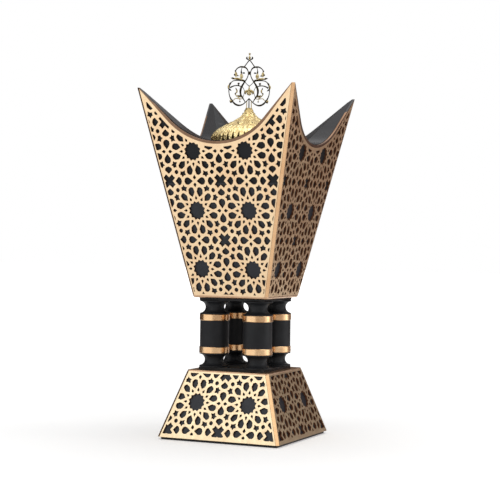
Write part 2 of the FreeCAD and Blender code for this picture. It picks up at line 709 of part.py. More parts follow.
def pierced(outer, window, openings, allowed):
    """Flat sheet with the openings that lie in its window; one that crosses the window's edge is cut off."""
    least_area = number("Dim.smallest_opening") ** 2
    window_face = Part.Face(window)
    holes = []
    for outline in openings:
        inside = [allowed(point) for point in outline]
        if all(inside):
            holes.append(grown(outline))
        elif any(inside):
            kept = Part.Face(grown(outline)).common(window_face)
            holes.extend(face.OuterWire for face in kept.Faces if face.Area > least_area)
    return Part.Face([outer] + holes, "Part::FaceMakerCheese").extrude(V(0, 0, -SHEET))


def bowl_sheet():
    """Pierced sheet of the bowl, drawn flat."""
    rim = Rim(0)
    foot = BOWL_SLOPE.up_to(CARCASS_FOOT)
    right = rim.ends(EDGE_INSET) + [V(BOWL_SLOPE.half(foot) - EDGE_INSET, foot, 0)]
    left = [mirror_x(point) for point in reversed(right)]
    outer = wire(lines(right + left) + rim.edges(right[0]))

    border = number("Dim.bowl_side_border")
    low = number("Dim.bowl_bottom_border")
    inner_rim = Rim(-number("Dim.rim_border"), False)
    right = inner_rim.ends(border) + [V(BOWL_SLOPE.half(low) - border, low, 0)]
    left = [mirror_x(point) for point in reversed(right)]
    window = wire(lines(right + left) + inner_rim.edges(right[0]))

    def allowed(point):
        return low < point.y < inner_rim.at(point.x) and abs(point.x) < BOWL_SLOPE.half(point.y) - border

    width = number("Dim.bowl_cell_width")
    height = number("Dim.bowl_cell_height")
    openings = lattice_openings(width, height, number("Dim.bowl_star_height"),
                                math.ceil(number("Dim.bowl_top_half") / width),
                                math.ceil(BOWL_SLOPE.length / height) + 1)
    return pierced(outer, window, openings, allowed)


def base_sheet():
    """Pierced sheet of the base, drawn flat."""
    def frame(low, high, inset):
        return closed([V(sign * (BASE_SLOPE.half(v) - inset), v, 0)
                       for sign, v in ((-1, low), (1, low), (1, high), (-1, high))])

    border = number("Dim.base_side_border")
    low = number("Dim.base_bottom_border")
    high = BASE_SLOPE.length - number("Dim.base_top_border")

    def allowed(point):
        return low < point.y < high and abs(point.x) < BASE_SLOPE.half(point.y) - border

    width = number("Dim.base_cell_width")
    height = number("Dim.base_cell_height")
    openings = lattice_openings(width, height, number("Dim.base_star_height"),
                                math.ceil(number("Dim.base_foot_half") / width),
                                math.ceil(BASE_SLOPE.length / height) + 1)
    return pierced(frame(0, BASE_SLOPE.up_to(DECK_FOOT), EDGE_INSET), frame(low, high, border), openings,
                   allowed)


def four_sides(name, shape, slope):
    return [computed(f"{name}_{side}", shape, slope.placement(i)) for i, side in enumerate(SIDES)]


def rim_lip():
    """Gold lip on the pierced sheet's curved edge, drawn flat."""
    lower = Rim(0)
    upper = Rim(number("Dim.rim_lip_height"))
    low_ends = lower.ends(EDGE_INSET)
    high_ends = upper.ends(EDGE_INSET)
    right = high_ends[:1] + (high_ends[1:] if len(low_ends) == 1 else []) + low_ends[:1]
    left = [mirror_x(point) for point in reversed(right)]
    outline = wire(lines(right) + lower.edges(low_ends[0]) + lines(left) + upper.edges(high_ends[0]))
    return Part.Face(outline).extrude(V(0, 0, -SHEET))


def corner_strip(half_at, low, high):
    """Strip on the front right corner: a flat at 45 degrees outside, a right angle inside."""
    setback = number("Dim.corner_setback")

    def section(level):
        outer = number(half_at(level))
        inner = number(half_at(level, "Dim.sheet_thickness"))
        spots = [(outer - setback, -outer), (outer, setback - outer), (inner, setback - outer),
                 (inner, -inner), (outer - setback, -inner)]
        return [V(x, y, number(level)) for x, y in spots]

    foot = section(low)
    head = section(high)
    return Part.Face(closed(foot)).extrude(head[0] - foot[0])


def four_corners(name, shape):
    return [computed(f"{name}_{corner}", shape, FreeCAD.Placement(V(), FreeCAD.Rotation(V(0, 0, 1), 90 * i)))
            for i, (corner, _, _) in enumerate(CORNERS)]


def rim_cutter():
    """What lies above the black rim of the front and of the back, level from one to the other."""
    rim = Rim(number("Dim.rim_crown_height"))
    overrun = number("Dim.overrun")
    reach = BOWL_SLOPE.half(BOWL_SLOPE.length) + overrun
    right = V(reach, rim.flare(reach), 0)
    top = right.y + overrun
    outline = wire(lines([right, V(reach, top, 0), V(-reach, top, 0), mirror_x(right)]) + rim.edges(right))
    inward = V(0, -math.sin(BOWL_SLOPE.lean), -math.cos(BOWL_SLOPE.lean))
    cutter = Part.Face(outline).extrude(inward * (2 * reach))
    cutter.translate(inward * -overrun)
    return cutter


def rim_cutters():
    """The same for the front with the back, and for the right side with the left."""
    cutter = rim_cutter()
    return [computed(f"rim_cutter_{side}", cutter, BOWL_SLOPE.placement(i))
            for i, side in enumerate(SIDES[:2])]


def bowl_corner_strip(cutters):
    """Strip of the bowl's front right corner, pointed at the horn's tip."""
    return corner_strip(bowl_half, CARCASS_FOOT, HORN_END).cut([cutter.Shape for cutter in cutters])


def bowl_carcass():
    """Black lower body of the bowl: floor and four sloping walls."""
    outer = frustum("bowl_block", bowl_half, "Dim.sheet_thickness", CARCASS_FOOT, CHAMBER_CEILING)
    chamber = frustum("bowl_chamber", bowl_half, "Dim.bowl_wall", CHAMBER_FLOOR,
                      f"({CHAMBER_CEILING} + Dim.overrun)")
    rods = rod_holes("bowl_rod_holes", f"{CARCASS_FOOT} - Dim.overrun",
                     "Dim.bowl_floor_thickness + 2 * Dim.overrun")
    return cut("bowl_carcass", outer, fuse("bowl_hollows", [chamber, rods]))


def bowl_head(cutters):
    """Black head glued on the lower body: shelf for the cup, funnel and four horns under the scooped rim."""
    outer = frustum("head_block", bowl_half, "Dim.sheet_thickness", CHAMBER_CEILING, HORN_END)
    depth = "(Dim.funnel_cone_depth + Dim.overrun)"
    cone_top = f"Dim.funnel_radius + {depth} * tan(Dim.funnel_slope_angle * 1deg)"
    hollows = fuse("head_hollows", [
        cone("funnel_cone", "Dim.funnel_radius", cone_top, CONE_FOOT, depth),
        cylinder("funnel_well", "Dim.funnel_radius", FUNNEL_FLOOR, f"{CONE_FOOT} - {FUNNEL_FLOOR}"),
        cylinder("cup_hole", "Dim.cup_hole_radius", f"{CHAMBER_CEILING} - Dim.overrun",
                 "Dim.shelf_thickness + 2 * Dim.overrun"),
    ])
    return cut("bowl_head", cut("head_hollowed", outer, hollows), fuse("rim_cut", cutters))


# Cup and lid

def charcoal_cup():
    """Cup hung by its flange, with a raised lip that centres the lid."""
    flange_top = f"({CUP_SEAT} + Dim.cup_wall)"
    bottom = f"({CUP_SEAT} - Dim.cup_depth)"
    floor = f"({bottom} + Dim.cup_wall)"
    inside = "(Dim.cup_radius - Dim.cup_wall)"
    outer_round = "Dim.cup_bottom_round"
    inner_round = "(Dim.cup_bottom_round - Dim.cup_wall)"
    lip_out = "(Dim.lid_radius - Dim.lid_wall - Dim.lid_lip_gap)"
    lip_in = f"({lip_out} - Dim.cup_wall)"
    lip_top = f"({flange_top} + Dim.lid_lip_height)"
    corners = [
        ("0", bottom),
        (f"Dim.cup_radius - {outer_round}", bottom),
        ("Dim.cup_radius", f"{bottom} + {outer_round}"),
        ("Dim.cup_radius", CUP_SEAT),
        ("Dim.cup_flange_radius", CUP_SEAT),
        ("Dim.cup_flange_radius", flange_top),
        (lip_out, flange_top),
        (lip_out, lip_top),
        (lip_in, lip_top),
        (lip_in, flange_top),
        (inside, flange_top),
        (inside, f"{floor} + {inner_round}"),
        (f"{inside} - {inner_round}", floor),
        ("0", floor),
    ]
    return turned("charcoal_cup", corners, {1: (outer_round, -1), 11: (inner_round, 1)})


def slot_cutters():
    """Smoke slots round the lid, each with an arched top, as one cutting shape."""
    half = number("Dim.slot_width / 2")
    low = number(f"{LID_SEAT} + Dim.slot_foot")
    high = number(f"{LID_SEAT} + Dim.slot_top")
    start = V(0, number("Dim.overrun - Dim.lid_radius"), 0)
    count = int(number("Dim.slot_count"))
    arch = Part.Arc(V(half, 0, high), V(0, 0, high + half), V(-half, 0, high)).toShape()
    outline = wire(lines([V(-half, 0, high), V(-half, 0, low), V(half, 0, low), V(half, 0, high)]) + [arch])
    slot = Part.Face(outline).extrude(V(0, -number("2 * Dim.overrun"), 0)).translated(start)
    return computed("slot_cutters", Part.makeCompound(
        [slot.rotated(V(), V(0, 0, 1), 360 * i / count) for i in range(count)]))


def lid_dome():
    """Skirt with smoke slots and an ogee dome, one turned piece."""
    wall = "Dim.lid_wall"
    outer = "Dim.lid_radius"
    inner = f"({outer} - {wall})"
    skirt = f"({LID_SEAT} + Dim.lid_skirt_height)"
    shoulder = f"({LID_SEAT} + Dim.lid_shoulder_height)"
    bore = "(Dim.stud_radius + Dim.rod_clearance)"
    ceiling = f"({LID_TOP} - 2 * {wall})"
    corners = [
        (inner, LID_SEAT),
        (outer, LID_SEAT),
        (outer, skirt),
        ("Dim.lid_shoulder_radius", shoulder),
        ("Dim.lid_neck_radius", LID_TOP),
        (bore, LID_TOP),
        (bore, ceiling),
        (f"Dim.lid_neck_radius - {wall} / 2", ceiling),
        (f"Dim.lid_shoulder_radius - {wall} / 2", f"{shoulder} - {wall}"),
        (inner, skirt),
    ]
    bulge = "Dim.lid_bulge_radius"
    hollow = "Dim.lid_hollow_radius"
    blank = turned("lid_blank", corners, {2: (bulge, -1), 3: (hollow, 1), 7: (f"({hollow} + {wall})", -1),
                                          8: (f"({bulge} - {wall})", 1)})
    dome = cut("lid_dome", blank, slot_cutters())
    return bind(dome, Placement__Rotation__Angle="Dim.lid_turn_angle * 1deg")


# Finial. Its strokes are drawn on a flat plate, for its right half, as shares of the scrollwork's
# height from its lowest joint: start, a place on the way, end.

MAIN_STROKE_SHARES = [
    ((0.110, 0.363), (0.033, 0.460), (0.018, 0.565)),
    ((0.018, 0.565), (0.058, 0.668), (0.150, 0.708)),
    ((0.150, 0.708), (0.258, 0.680), (0.305, 0.595)),
    ((0.110, 0.363), (0.170, 0.410), (0.300, 0.418)),
    ((0.300, 0.418), (0.395, 0.385), (0.445, 0.303)),
    ((0.445, 0.303), (0.467, 0.215), (0.452, 0.120)),
    ((0.452, 0.120), (0.378, -0.068), (0.228, -0.153)),
    ((0.228, -0.153), (0.092, -0.105), (0.000, 0.000)),
    ((0.110, 0.363), (0.188, 0.215), (0.175, 0.052)),
    ((0.000, 0.842), (0.058, 0.770), (0.107, 0.705)),
]
FINE_STROKE_SHARES = [
    ((0.160, 0.705), (0.182, 0.600), (0.176, 0.480)),
    ((0.130, 0.550), (0.155, 0.558), (0.183, 0.572)),
    ((0.305, 0.595), (0.285, 0.535), (0.310, 0.470)),
    ((0.300, 0.470), (0.350, 0.468), (0.412, 0.452)),
    ((0.310, 0.470), (0.330, 0.445), (0.340, 0.415)),
    ((0.184, 0.287), (0.300, 0.300), (0.425, 0.262)),
    ((0.175, 0.052), (0.130, -0.012), (0.081, -0.081)),
    ((0.110, 0.363), (0.058, 0.305), (0.000, 0.265)),
    ((0.300, 0.213), (0.278, 0.100), (0.262, -0.010)),
    ((0.175, 0.052), (0.228, 0.050), (0.262, -0.010)),
    ((0.262, -0.010), (0.310, -0.035), (0.365, -0.060)),
    ((0.262, -0.010), (0.205, -0.025), (0.147, 0.017)),
    ((0.236, 0.325), (0.240, 0.308), (0.244, 0.292)),
    ((0.210, -0.060), (0.212, -0.040), (0.214, -0.022)),
    ((0.465, 0.170), (0.440, 0.176), (0.415, 0.166)),
    ((0.184, 0.235), (0.110, 0.150), (0.147, 0.017)),
    ((0.000, 0.265), (0.002, 0.220), (0.000, 0.167)),
    ((0.000, 0.167), (0.045, 0.160), (0.083, 0.130)),
    ((0.083, 0.130), (0.058, 0.082), (0.000, 0.069)),
    ((0.000, 0.842), (0.001, 0.900), (0.000, 0.960)),
    ((0.020, 0.850), (0.072, 0.885), (0.030, 0.930)),
]
# How far the side rods of the stem end under the lowest joint, where the big scrolls pass
SIDE_ROD_DROP_SHARE = 0.045
# Buds: place and radius
BUD_SHARES = [
    ((0.000, 0.965), 0.030),
    ((0.130, 0.550), 0.026),
    ((0.000, 0.562), 0.024),
    ((0.236, 0.325), 0.028),
    ((0.210, -0.060), 0.025),
    ((0.410, -0.072), 0.030),
    ((0.420, 0.284), 0.028),
]


def upward(outline):
    """Flat face that looks along Z."""
    face = Part.Face(outline)
    return face if face.normalAt(0, 0).z > 0 else Part.Face(face.OuterWire.reversed())


def disc(spot, radius):
    return upward(Part.Wire(Part.makeCircle(radius, spot)))


def stroke(points, width):
    """Flat band along an arc through three points, with round ends."""
    start, middle, end = points
    curve = Part.Arc(start, middle, end).toShape().Curve
    centre = curve.Center
    wider = (curve.Radius + width / 2) / curve.Radius
    narrower = (curve.Radius - width / 2) / curve.Radius
    outer = [centre + (spot - centre) * wider for spot in points]
    inner = [centre + (spot - centre) * narrower for spot in points]
    outline = wire([Part.Arc(*outer).toShape(), Part.LineSegment(outer[2], inner[2]).toShape(),
                    Part.Arc(*inner).toShape(), Part.LineSegment(inner[0], outer[0]).toShape()])
    return [upward(outline), disc(start, width / 2), disc(end, width / 2)]


def scrollwork():
    """Openwork plate of the finial, standing on its lowest joint, its front towards -Y."""
    height = number("Dim.finial_height")
    thickness = number("Dim.finial_thickness")
    joint = number(f"{COLLAR_TOP} + Dim.stem_height")
    faces = []
    for table, width in ((MAIN_STROKE_SHARES, "Dim.finial_stroke"),
                         (FINE_STROKE_SHARES, "Dim.finial_fine_stroke")):
        for shares in table:
            for side in (1, -1):
                points = [V(side * x * height, y * height, 0) for x, y in shares]
                faces += stroke(points, number(width))
    for (x, y), radius in BUD_SHARES:
        for spot in {x, -x}:
            faces.append(disc(V(spot * height, y * height, 0), radius * height))
    plate = faces[0].fuse(faces[1:]).removeSplitter()
    whole = Part.makeCompound([face.extrude(V(0, 0, thickness)) for face in plate.Faces])
    place = FreeCAD.Placement(V(0, thickness / 2, joint), FreeCAD.Rotation(V(1, 0, 0), 90))
    return computed("scrollwork", whole, place)


def lid_finial():
    """Scrollwork on three stem rods, a round foot and a stud through the dome."""
    side_height = f"Dim.stem_height - Dim.finial_height * {SIDE_ROD_DROP_SHARE}"
    washer_low = f"{LID_TOP} - 2 * Dim.lid_wall - Dim.stud_washer_thickness"
    stud_low = f"({washer_low} - Dim.stud_nut_height - Dim.stud_tail)"
    pieces = [
        scrollwork(),
        cylinder("finial_foot", "Dim.finial_foot_radius", COLLAR_TOP, "Dim.finial_foot_height"),
        cylinder("finial_stud", "Dim.stud_radius", stud_low,
                 f"{COLLAR_TOP} - {stud_low} + Dim.finial_foot_height"),
        cylinder("stem_rod_middle", "Dim.stem_rod_radius", COLLAR_TOP, "Dim.stem_height"),
        cylinder("stem_rod_right", "Dim.stem_rod_radius", COLLAR_TOP, side_height, "Dim.stem_rod_spacing"),
        cylinder("stem_rod_left", "Dim.stem_rod_radius", COLLAR_TOP, side_height, "-Dim.stem_rod_spacing"),
    ]
    return bind(fuse("lid_finial", pieces), Placement__Rotation__Angle="Dim.lid_turn_angle * 1deg")


def finial_fixings():
    """Collar on the dome, and the washer and nut under it."""
    bore = "(Dim.stud_radius + Dim.rod_clearance)"
    edge = "Dim.collar_round"
    radius = "Dim.collar_radius"
    collar = turned("finial_collar", [
        (bore, LID_TOP), (radius, LID_TOP), (radius, f"{COLLAR_TOP} - {edge}"),
        (f"{radius} - {edge}", COLLAR_TOP), (bore, COLLAR_TOP)], {2: (edge, -1)})
    washer_low = f"({LID_TOP} - 2 * Dim.lid_wall - Dim.stud_washer_thickness)"
    return [
        collar,
        washer("finial_washer", "Dim.stud_washer_radius", bore, washer_low, "Dim.stud_washer_thickness"),
        nut("finial_nut", "Dim.stud_nut_flats", "Dim.stud_radius + Dim.thread_clearance",
            f"{washer_low} - Dim.stud_nut_height", "Dim.stud_nut_height"),
    ]


def all_nodes():
    """Every separate piece, from the table up."""
    corner_radius = "Dim.plate_corner_radius"
    nodes = [foot_plate(), foot_screws(), base_carcass()]
    nodes += four_sides("base_lattice", base_sheet(), BASE_SLOPE)
    nodes += four_corners("base_corner_strip", corner_strip(base_half, BASE_FOOT, DECK_FOOT))
    nodes.append(square_plate("base_deck", base_half(DECK_FOOT), DECK_FOOT, "Dim.deck_thickness",
                              "Dim.deck_edge_round", True, corner_radius))
    plate = ["Dim.column_plate_thickness", "Dim.column_plate_edge_round"]
    nodes.append(square_plate("lower_plate", "Dim.column_plate_half", BASE_TOP, *plate))
    for column in at_corners(column_pieces, "Dim.column_offset"):
        nodes += column
    nodes += rod_hardware()
    nodes.append(square_plate("upper_plate", "Dim.column_plate_half", COLUMN_TOP, *plate, False))
    nodes.append(square_plate("bowl_bottom_plate", bowl_half(CARCASS_FOOT), BOWL_FOOT,
                              "Dim.bowl_bottom_thickness", "Dim.bowl_bottom_round", False, corner_radius))
    cutters = rim_cutters()
    nodes += [bowl_carcass(), bowl_head(cutters)]
    nodes += four_sides("bowl_lattice", bowl_sheet(), BOWL_SLOPE)
    nodes += four_corners("bowl_corner_strip", bowl_corner_strip(cutters))
    nodes += four_sides("rim_lip", rim_lip(), BOWL_SLOPE)
    nodes += [charcoal_cup(), lid_dome(), lid_finial()] + finial_fixings()
    return nodes


nodes = all_nodes()
doc.recompute()

for item in doc.Objects:
    if "Invalid" in item.State or "Error" in item.State:
        raise ValueError(f"{item.Label} failed: {item.State}")
for node in nodes:
    if node.Shape.isNull() or not node.Shape.isValid():
        raise ValueError(f"{node.Label} has no valid shape")

os.makedirs("parts", exist_ok=True)
for node in nodes:
    node.Shape.exportStep(f"parts/{node.Label}.step")
    print(node.Label, len(node.Shape.Solids), "solids", round(node.Shape.Volume), "mm3")
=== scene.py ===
import math

import bpy
import numpy as np
from mathutils import Matrix, Vector


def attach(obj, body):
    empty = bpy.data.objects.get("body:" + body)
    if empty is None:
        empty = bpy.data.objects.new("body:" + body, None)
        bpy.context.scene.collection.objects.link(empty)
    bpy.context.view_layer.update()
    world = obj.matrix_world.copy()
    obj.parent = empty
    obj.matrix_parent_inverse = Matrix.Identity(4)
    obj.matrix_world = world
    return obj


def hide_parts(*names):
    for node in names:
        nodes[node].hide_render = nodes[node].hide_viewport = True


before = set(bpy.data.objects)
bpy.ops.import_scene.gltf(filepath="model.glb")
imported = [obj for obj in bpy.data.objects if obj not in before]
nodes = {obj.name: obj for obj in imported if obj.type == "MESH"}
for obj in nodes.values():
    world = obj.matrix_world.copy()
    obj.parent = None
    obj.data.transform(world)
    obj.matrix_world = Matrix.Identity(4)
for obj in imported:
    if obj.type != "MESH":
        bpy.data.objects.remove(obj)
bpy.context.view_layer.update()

MM = 0.001
WHITE = (1.0, 1.0, 1.0)
collection = bpy.context.scene.collection

# Vertex attribute of the lid's mesh: height of the raised work, 0 to about 1
RAISED = "raised"

# Funnel in the bowl's head: a straight well and a cone above it, in millimetres
FUNNEL_RADIUS = 38.0
CONE_FOOT = 219.0
FUNNEL_SLOPE = math.tan(math.radians(49.2))
CONE_TOLERANCE = 0.1


# Materials

class Graph:
    """Node tree that is built node by node."""

    def __init__(self, tree):
        self.tree = tree

    def node(self, kind, inputs=None, **settings):
        """New node: inputs are values or sockets of other nodes, settings are its properties."""
        item = self.tree.nodes.new(kind)
        for key, value in settings.items():
            setattr(item, key, value)
        for key, value in (inputs or {}).items():
            self.feed(item.inputs[key], value)
        return item

    def feed(self, socket, value):
        if isinstance(value, bpy.types.NodeSocket):
            self.tree.links.new(value, socket)
        elif socket.type == "RGBA":
            socket.default_value = (*value, 1.0)
        else:
            socket.default_value = value

    def math(self, operation, a, b=0.0, c=0.0):
        return self.node("ShaderNodeMath", {0: a, 1: b, 2: c}, operation=operation).outputs[0]

    def spread(self, value, low, high, to_low=0.0, to_high=1.0):
        """Value between low and high, moved to the same place between to_low and to_high."""
        inputs = {0: value, 1: low, 2: high, 3: to_low, 4: to_high}
        return self.node("ShaderNodeMapRange", inputs).outputs[0]

    def parts(self, vector):
        """X, Y and Z of a vector."""
        return self.node("ShaderNodeSeparateXYZ", {0: vector}).outputs

    def seen_rays(self):
        """1 for camera, glossy and transmission rays, which are shown the white studio."""
        path = self.node("ShaderNodeLightPath").outputs
        seen = self.math("MAXIMUM", path["Is Camera Ray"], path["Is Glossy Ray"])
        return self.math("MAXIMUM", seen, path["Is Transmission Ray"])


class Finish(Graph):
    """Material with its principled shader; every pattern is in millimetres of the object."""

    # Range that most values of a noise pattern fall into
    NOISE_LOW, NOISE_HIGH = 0.3, 0.7

    def __init__(self, name, **sockets):
        self.material = bpy.data.materials.new(name)
        self.material.use_nodes = True
        super().__init__(self.material.node_tree)
        self.shader = next(n for n in self.tree.nodes if n.type == "BSDF_PRINCIPLED")
        coordinates = self.node("ShaderNodeTexCoord").outputs
        self.place, self.normal = coordinates["Object"], coordinates["Normal"]
        for socket, value in sockets.items():
            self.set(socket.replace("_", " "), value)

    def set(self, socket, value):
        self.feed(self.shader.inputs[socket], value)

    def units(self, size):
        """Coordinates whose unit is size millimetres, or one size for each axis."""
        sizes = size if isinstance(size, tuple) else (size, size, size)
        inputs = {"Vector": self.place, "Scale": tuple(1 / (s * MM) for s in sizes)}
        return self.node("ShaderNodeMapping", inputs).outputs[0]

    def noise(self, size, detail=3.0, roughness=0.5):
        inputs = {"Vector": self.units(size), "Scale": 1.0, "Detail": detail,
                  "Roughness": roughness}
        return self.node("ShaderNodeTexNoise", inputs).outputs["Fac"]

    def mix(self, factor, a, b):
        """Colour a at factor 0, colour b at factor 1."""
        return self.node("ShaderNodeMix", {0: factor, 6: a, 7: b}, data_type="RGBA").outputs[2]

    def blend(self, factor, a, b):
        """Number a at factor 0, number b at factor 1."""
        return self.spread(factor, 0.0, 1.0, a, b)

    def roughen(self, pattern, low, high):
        """Roughness from low to high with a noise pattern."""
        self.set("Roughness", self.spread(pattern, self.NOISE_LOW, self.NOISE_HIGH, low, high))

    def bump(self, pattern, height, strength=1.0, under=None):
        """Normal of a surface raised by a pattern of that height, over another bump."""
        inputs = {"Height": pattern, "Distance": height * MM, "Strength": strength}
        if under is not None:
            inputs["Normal"] = under
        return self.node("ShaderNodeBump", inputs).outputs[0]

    def axis_distance(self):
        """Distance from the burner's upright axis."""
        x, y, _ = self.parts(self.place)
        return self.math("SQRT", self.math("MULTIPLY_ADD", x, x, self.math("MULTIPLY", y, y)))

    def edge_on(self):
        """1 on walls of openings and other cut edges, 0 on what faces out of its side."""
        x, y, _ = self.parts(self.place)
        across, along, _ = self.parts(self.normal)
        at_x_side = self.math("GREATER_THAN", self.math("ABSOLUTE", x), self.math("ABSOLUTE", y))
        facing = self.node("ShaderNodeMix", {0: at_x_side, 2: self.math("ABSOLUTE", along),
                                             3: self.math("ABSOLUTE", across)}).outputs[0]
        return self.math("LESS_THAN", facing, 0.5)


def shade(tone, factor, offset=0.0):
    """Lighter or darker tone."""
    return tuple(factor * c + offset for c in tone)


def satin_gold(name, pale, deep, roughness, cut=None):
    """Plated sheet metal: slow drift between two tones, fine grain, small rubbed spots.

    cut is the colour of its cut edges, where they aren't plated.
    """
    finish = Finish(name)
    drift = finish.noise(14.0, detail=4.0, roughness=0.6)
    cloud = finish.noise(2.4, roughness=0.6)
    clouded = finish.math("ADD", drift, finish.math("MULTIPLY", cloud, 0.5))
    colour = finish.mix(finish.spread(clouded, 0.55, 0.95), pale, deep)
    specks = finish.spread(finish.noise(0.35, detail=2.0, roughness=0.7), 0.62, 0.75)
    colour = finish.mix(finish.math("MULTIPLY", specks, 0.35), colour, shade(deep, 0.72))
    if cut:
        edge = finish.edge_on()
        colour = finish.mix(edge, colour, cut)
        finish.set("Metallic", finish.blend(edge, 1.0, 0.3))
    else:
        finish.set("Metallic", 1.0)
    finish.set("Base Color", colour)
    wear_and_sheen = finish.noise(3.0, detail=5.0, roughness=0.65)
    finish.roughen(wear_and_sheen, roughness - 0.06, roughness + 0.08)
    grain = finish.noise(0.25, detail=4.0, roughness=0.7)
    waves = finish.bump(finish.noise(7.0, detail=1.0, roughness=0.4), 0.10, strength=0.6)
    finish.set("Normal", finish.bump(grain, 0.012, under=waves))
    return finish


def shaded_lip_gold(name):
    """Gold of the rim's lips, darkened to brown as painted shade and dark reflection, black where
    they look into the funnel.
    """
    # Dark brown gold: painted shade and dark reflection on the lips
    finish = satin_gold(name, (0.25, 0.150, 0.095), (0.17, 0.10, 0.062), 0.32)
    x, y, _ = finish.parts(finish.place)
    across, along, _ = finish.parts(finish.normal)
    outward = finish.math("MULTIPLY_ADD", x, across, finish.math("MULTIPLY", y, along))
    outward = finish.math("DIVIDE", outward, finish.axis_distance())
    inner = finish.math("LESS_THAN", outward, -0.35)
    plain = finish.shader.inputs["Base Color"].links[0].from_socket
    finish.set("Base Color", finish.mix(inner, plain, (0.02, 0.019, 0.02)))
    finish.set("Metallic", finish.blend(inner, 1.0, 0.0))
    return finish


def turned_copper(name):
    """Turned ring: close lathe grooves round it and a slow drift of tone."""
    finish = Finish(name, Metallic=1.0)
    grooves = finish.noise((30.0, 30.0, 0.06), roughness=0.7)
    drift = finish.spread(finish.noise(6.0), 0.35, 0.7)
    colour = finish.mix(drift, (0.84, 0.58, 0.33), (0.76, 0.47, 0.25))
    in_groove = finish.spread(grooves, 0.35, 0.65, 0.0, 0.2)
    finish.set("Base Color", finish.mix(in_groove, colour, (0.56, 0.33, 0.17)))
    finish.roughen(grooves, 0.20, 0.28)
    finish.set("Normal", finish.bump(grooves, 0.003))
    return finish


def painted_black(name, tone, roughness, gloss):
    """Black lacquer: soft orange peel, dust in soft patches, worn sheen."""
    finish = Finish(name, Metallic=0.0, Specular_IOR_Level=gloss)
    cloud = finish.spread(finish.noise(9.0, detail=4.0, roughness=0.6), 0.3, 0.75)
    colour = finish.mix(cloud, tone, shade(tone, 1.6, 0.001))
    dust = finish.spread(finish.noise(0.5, roughness=0.8), 0.6, 0.8)
    colour = finish.mix(finish.math("MULTIPLY", dust, 0.25), colour, shade(tone, 3.0))
    finish.set("Base Color", colour)
    wear_and_sheen = finish.noise(4.0, detail=4.0, roughness=0.6)
    finish.roughen(wear_and_sheen, roughness - 0.05, roughness + 0.07)
    finish.set("Normal", finish.bump(finish.noise(0.9, detail=2.0), 0.02))
    return finish


def head_black(name):
    """Black of the bowl's head: matt in the funnel, smoother on the rim and lighter there in mauve
    grey as painted sheen.
    """
    finish = Finish(name, Metallic=0.0, Specular_IOR_Level=0.19)
    z = finish.parts(finish.place)["Z"]
    axis_end = MM * (FUNNEL_RADIUS - FUNNEL_SLOPE * CONE_FOOT)
    cone = finish.math("MULTIPLY_ADD", z, FUNNEL_SLOPE, axis_end)
    from_cone = finish.math("SUBTRACT", finish.axis_distance(), cone)
    off_cone = finish.math("GREATER_THAN", finish.math("ABSOLUTE", from_cone), CONE_TOLERANCE * MM)
    above = finish.math("GREATER_THAN", z, MM * CONE_FOOT)
    upward = finish.math("GREATER_THAN", finish.parts(finish.normal)["Z"], 0.1)
    rim = finish.math("MULTIPLY", finish.math("MULTIPLY", off_cone, above), upward)
    cloud = finish.spread(finish.noise(9.0, detail=4.0, roughness=0.6), 0.3, 0.75)
    plain = finish.mix(cloud, (0.007, 0.008, 0.010), (0.013, 0.0145, 0.017))
    # Lighter mauve grey on the rim's upward faces: painted sheen
    wear_and_sheen = finish.mix(cloud, (0.018, 0.0165, 0.019), (0.012, 0.0115, 0.014))
    finish.set("Base Color", finish.mix(rim, plain, wear_and_sheen))
    finish.set("Roughness", finish.blend(rim, 0.42, 0.26))
    finish.set("Normal", finish.bump(finish.noise(0.9, detail=2.0), 0.006))
    return finish


def plain_steel(name, tone, roughness):
    """Steel turned or drawn, with fine lines round it."""
    finish = Finish(name, Metallic=1.0)
    brushed = finish.noise((6.0, 6.0, 0.2), roughness=0.7)
    finish.set("Base Color", finish.mix(finish.spread(brushed, 0.3, 0.7), tone, shade(tone, 0.7)))
    finish.roughen(brushed, roughness - 0.05, roughness + 0.1)
    finish.set("Normal", finish.bump(brushed, 0.01))
    return finish


def antique_gold(name, bright, dark, balance, roughness):
    """Polished gold with patches of dark patina, more of it the lower balance is."""
    finish = Finish(name, Metallic=1.0)
    patches = finish.noise(1.6, roughness=0.6)
    fine = finish.noise(0.35, detail=2.0, roughness=0.6)
    stained = finish.math("ADD", patches, finish.math("MULTIPLY", fine, 0.4))
    patina = finish.spread(stained, balance, balance + 0.28)
    finish.set("Base Color", finish.mix(patina, bright, dark))
    finish.set("Roughness", finish.blend(patina, roughness, roughness + 0.12))
    finish.set("Normal", finish.bump(fine, 0.02))
    return finish


def relief_gold(name):
    """Bright gold on the raised work, brown patina in the ground between."""
    finish = Finish(name, Metallic=1.0)
    raised = finish.node("ShaderNodeAttribute", attribute_name=RAISED).outputs["Fac"]
    fine = finish.noise(0.45, roughness=0.65)
    grains = finish.node("ShaderNodeTexVoronoi", {"Vector": finish.units(1.4), "Scale": 1.0})
    hollow = finish.spread(grains.outputs["Distance"], 0.25, 0.75)
    height = finish.math("ADD", raised, finish.math("MULTIPLY", fine, 0.5))
    wear_and_sheen = finish.math("SUBTRACT", height, finish.math("MULTIPLY_ADD", hollow, 0.45, 0.10))
    ground = finish.mix(finish.spread(fine, 0.3, 0.7), (0.54, 0.40, 0.17), (0.70, 0.53, 0.25))
    drift = finish.spread(finish.noise(2.0, roughness=0.6), 0.35, 0.65)
    gold = finish.mix(drift, (0.96, 0.82, 0.46), (0.90, 0.69, 0.30))
    finish.set("Base Color", finish.mix(finish.spread(wear_and_sheen, 0.10, 0.45), ground, gold))
    finish.set("Roughness", finish.spread(wear_and_sheen, 0.1, 0.6, 0.36, 0.20))
    beaded = finish.bump(finish.math("SUBTRACT", 1.0, hollow), 0.22)
    finish.set("Normal", finish.bump(fine, 0.08, under=beaded))
    return finish


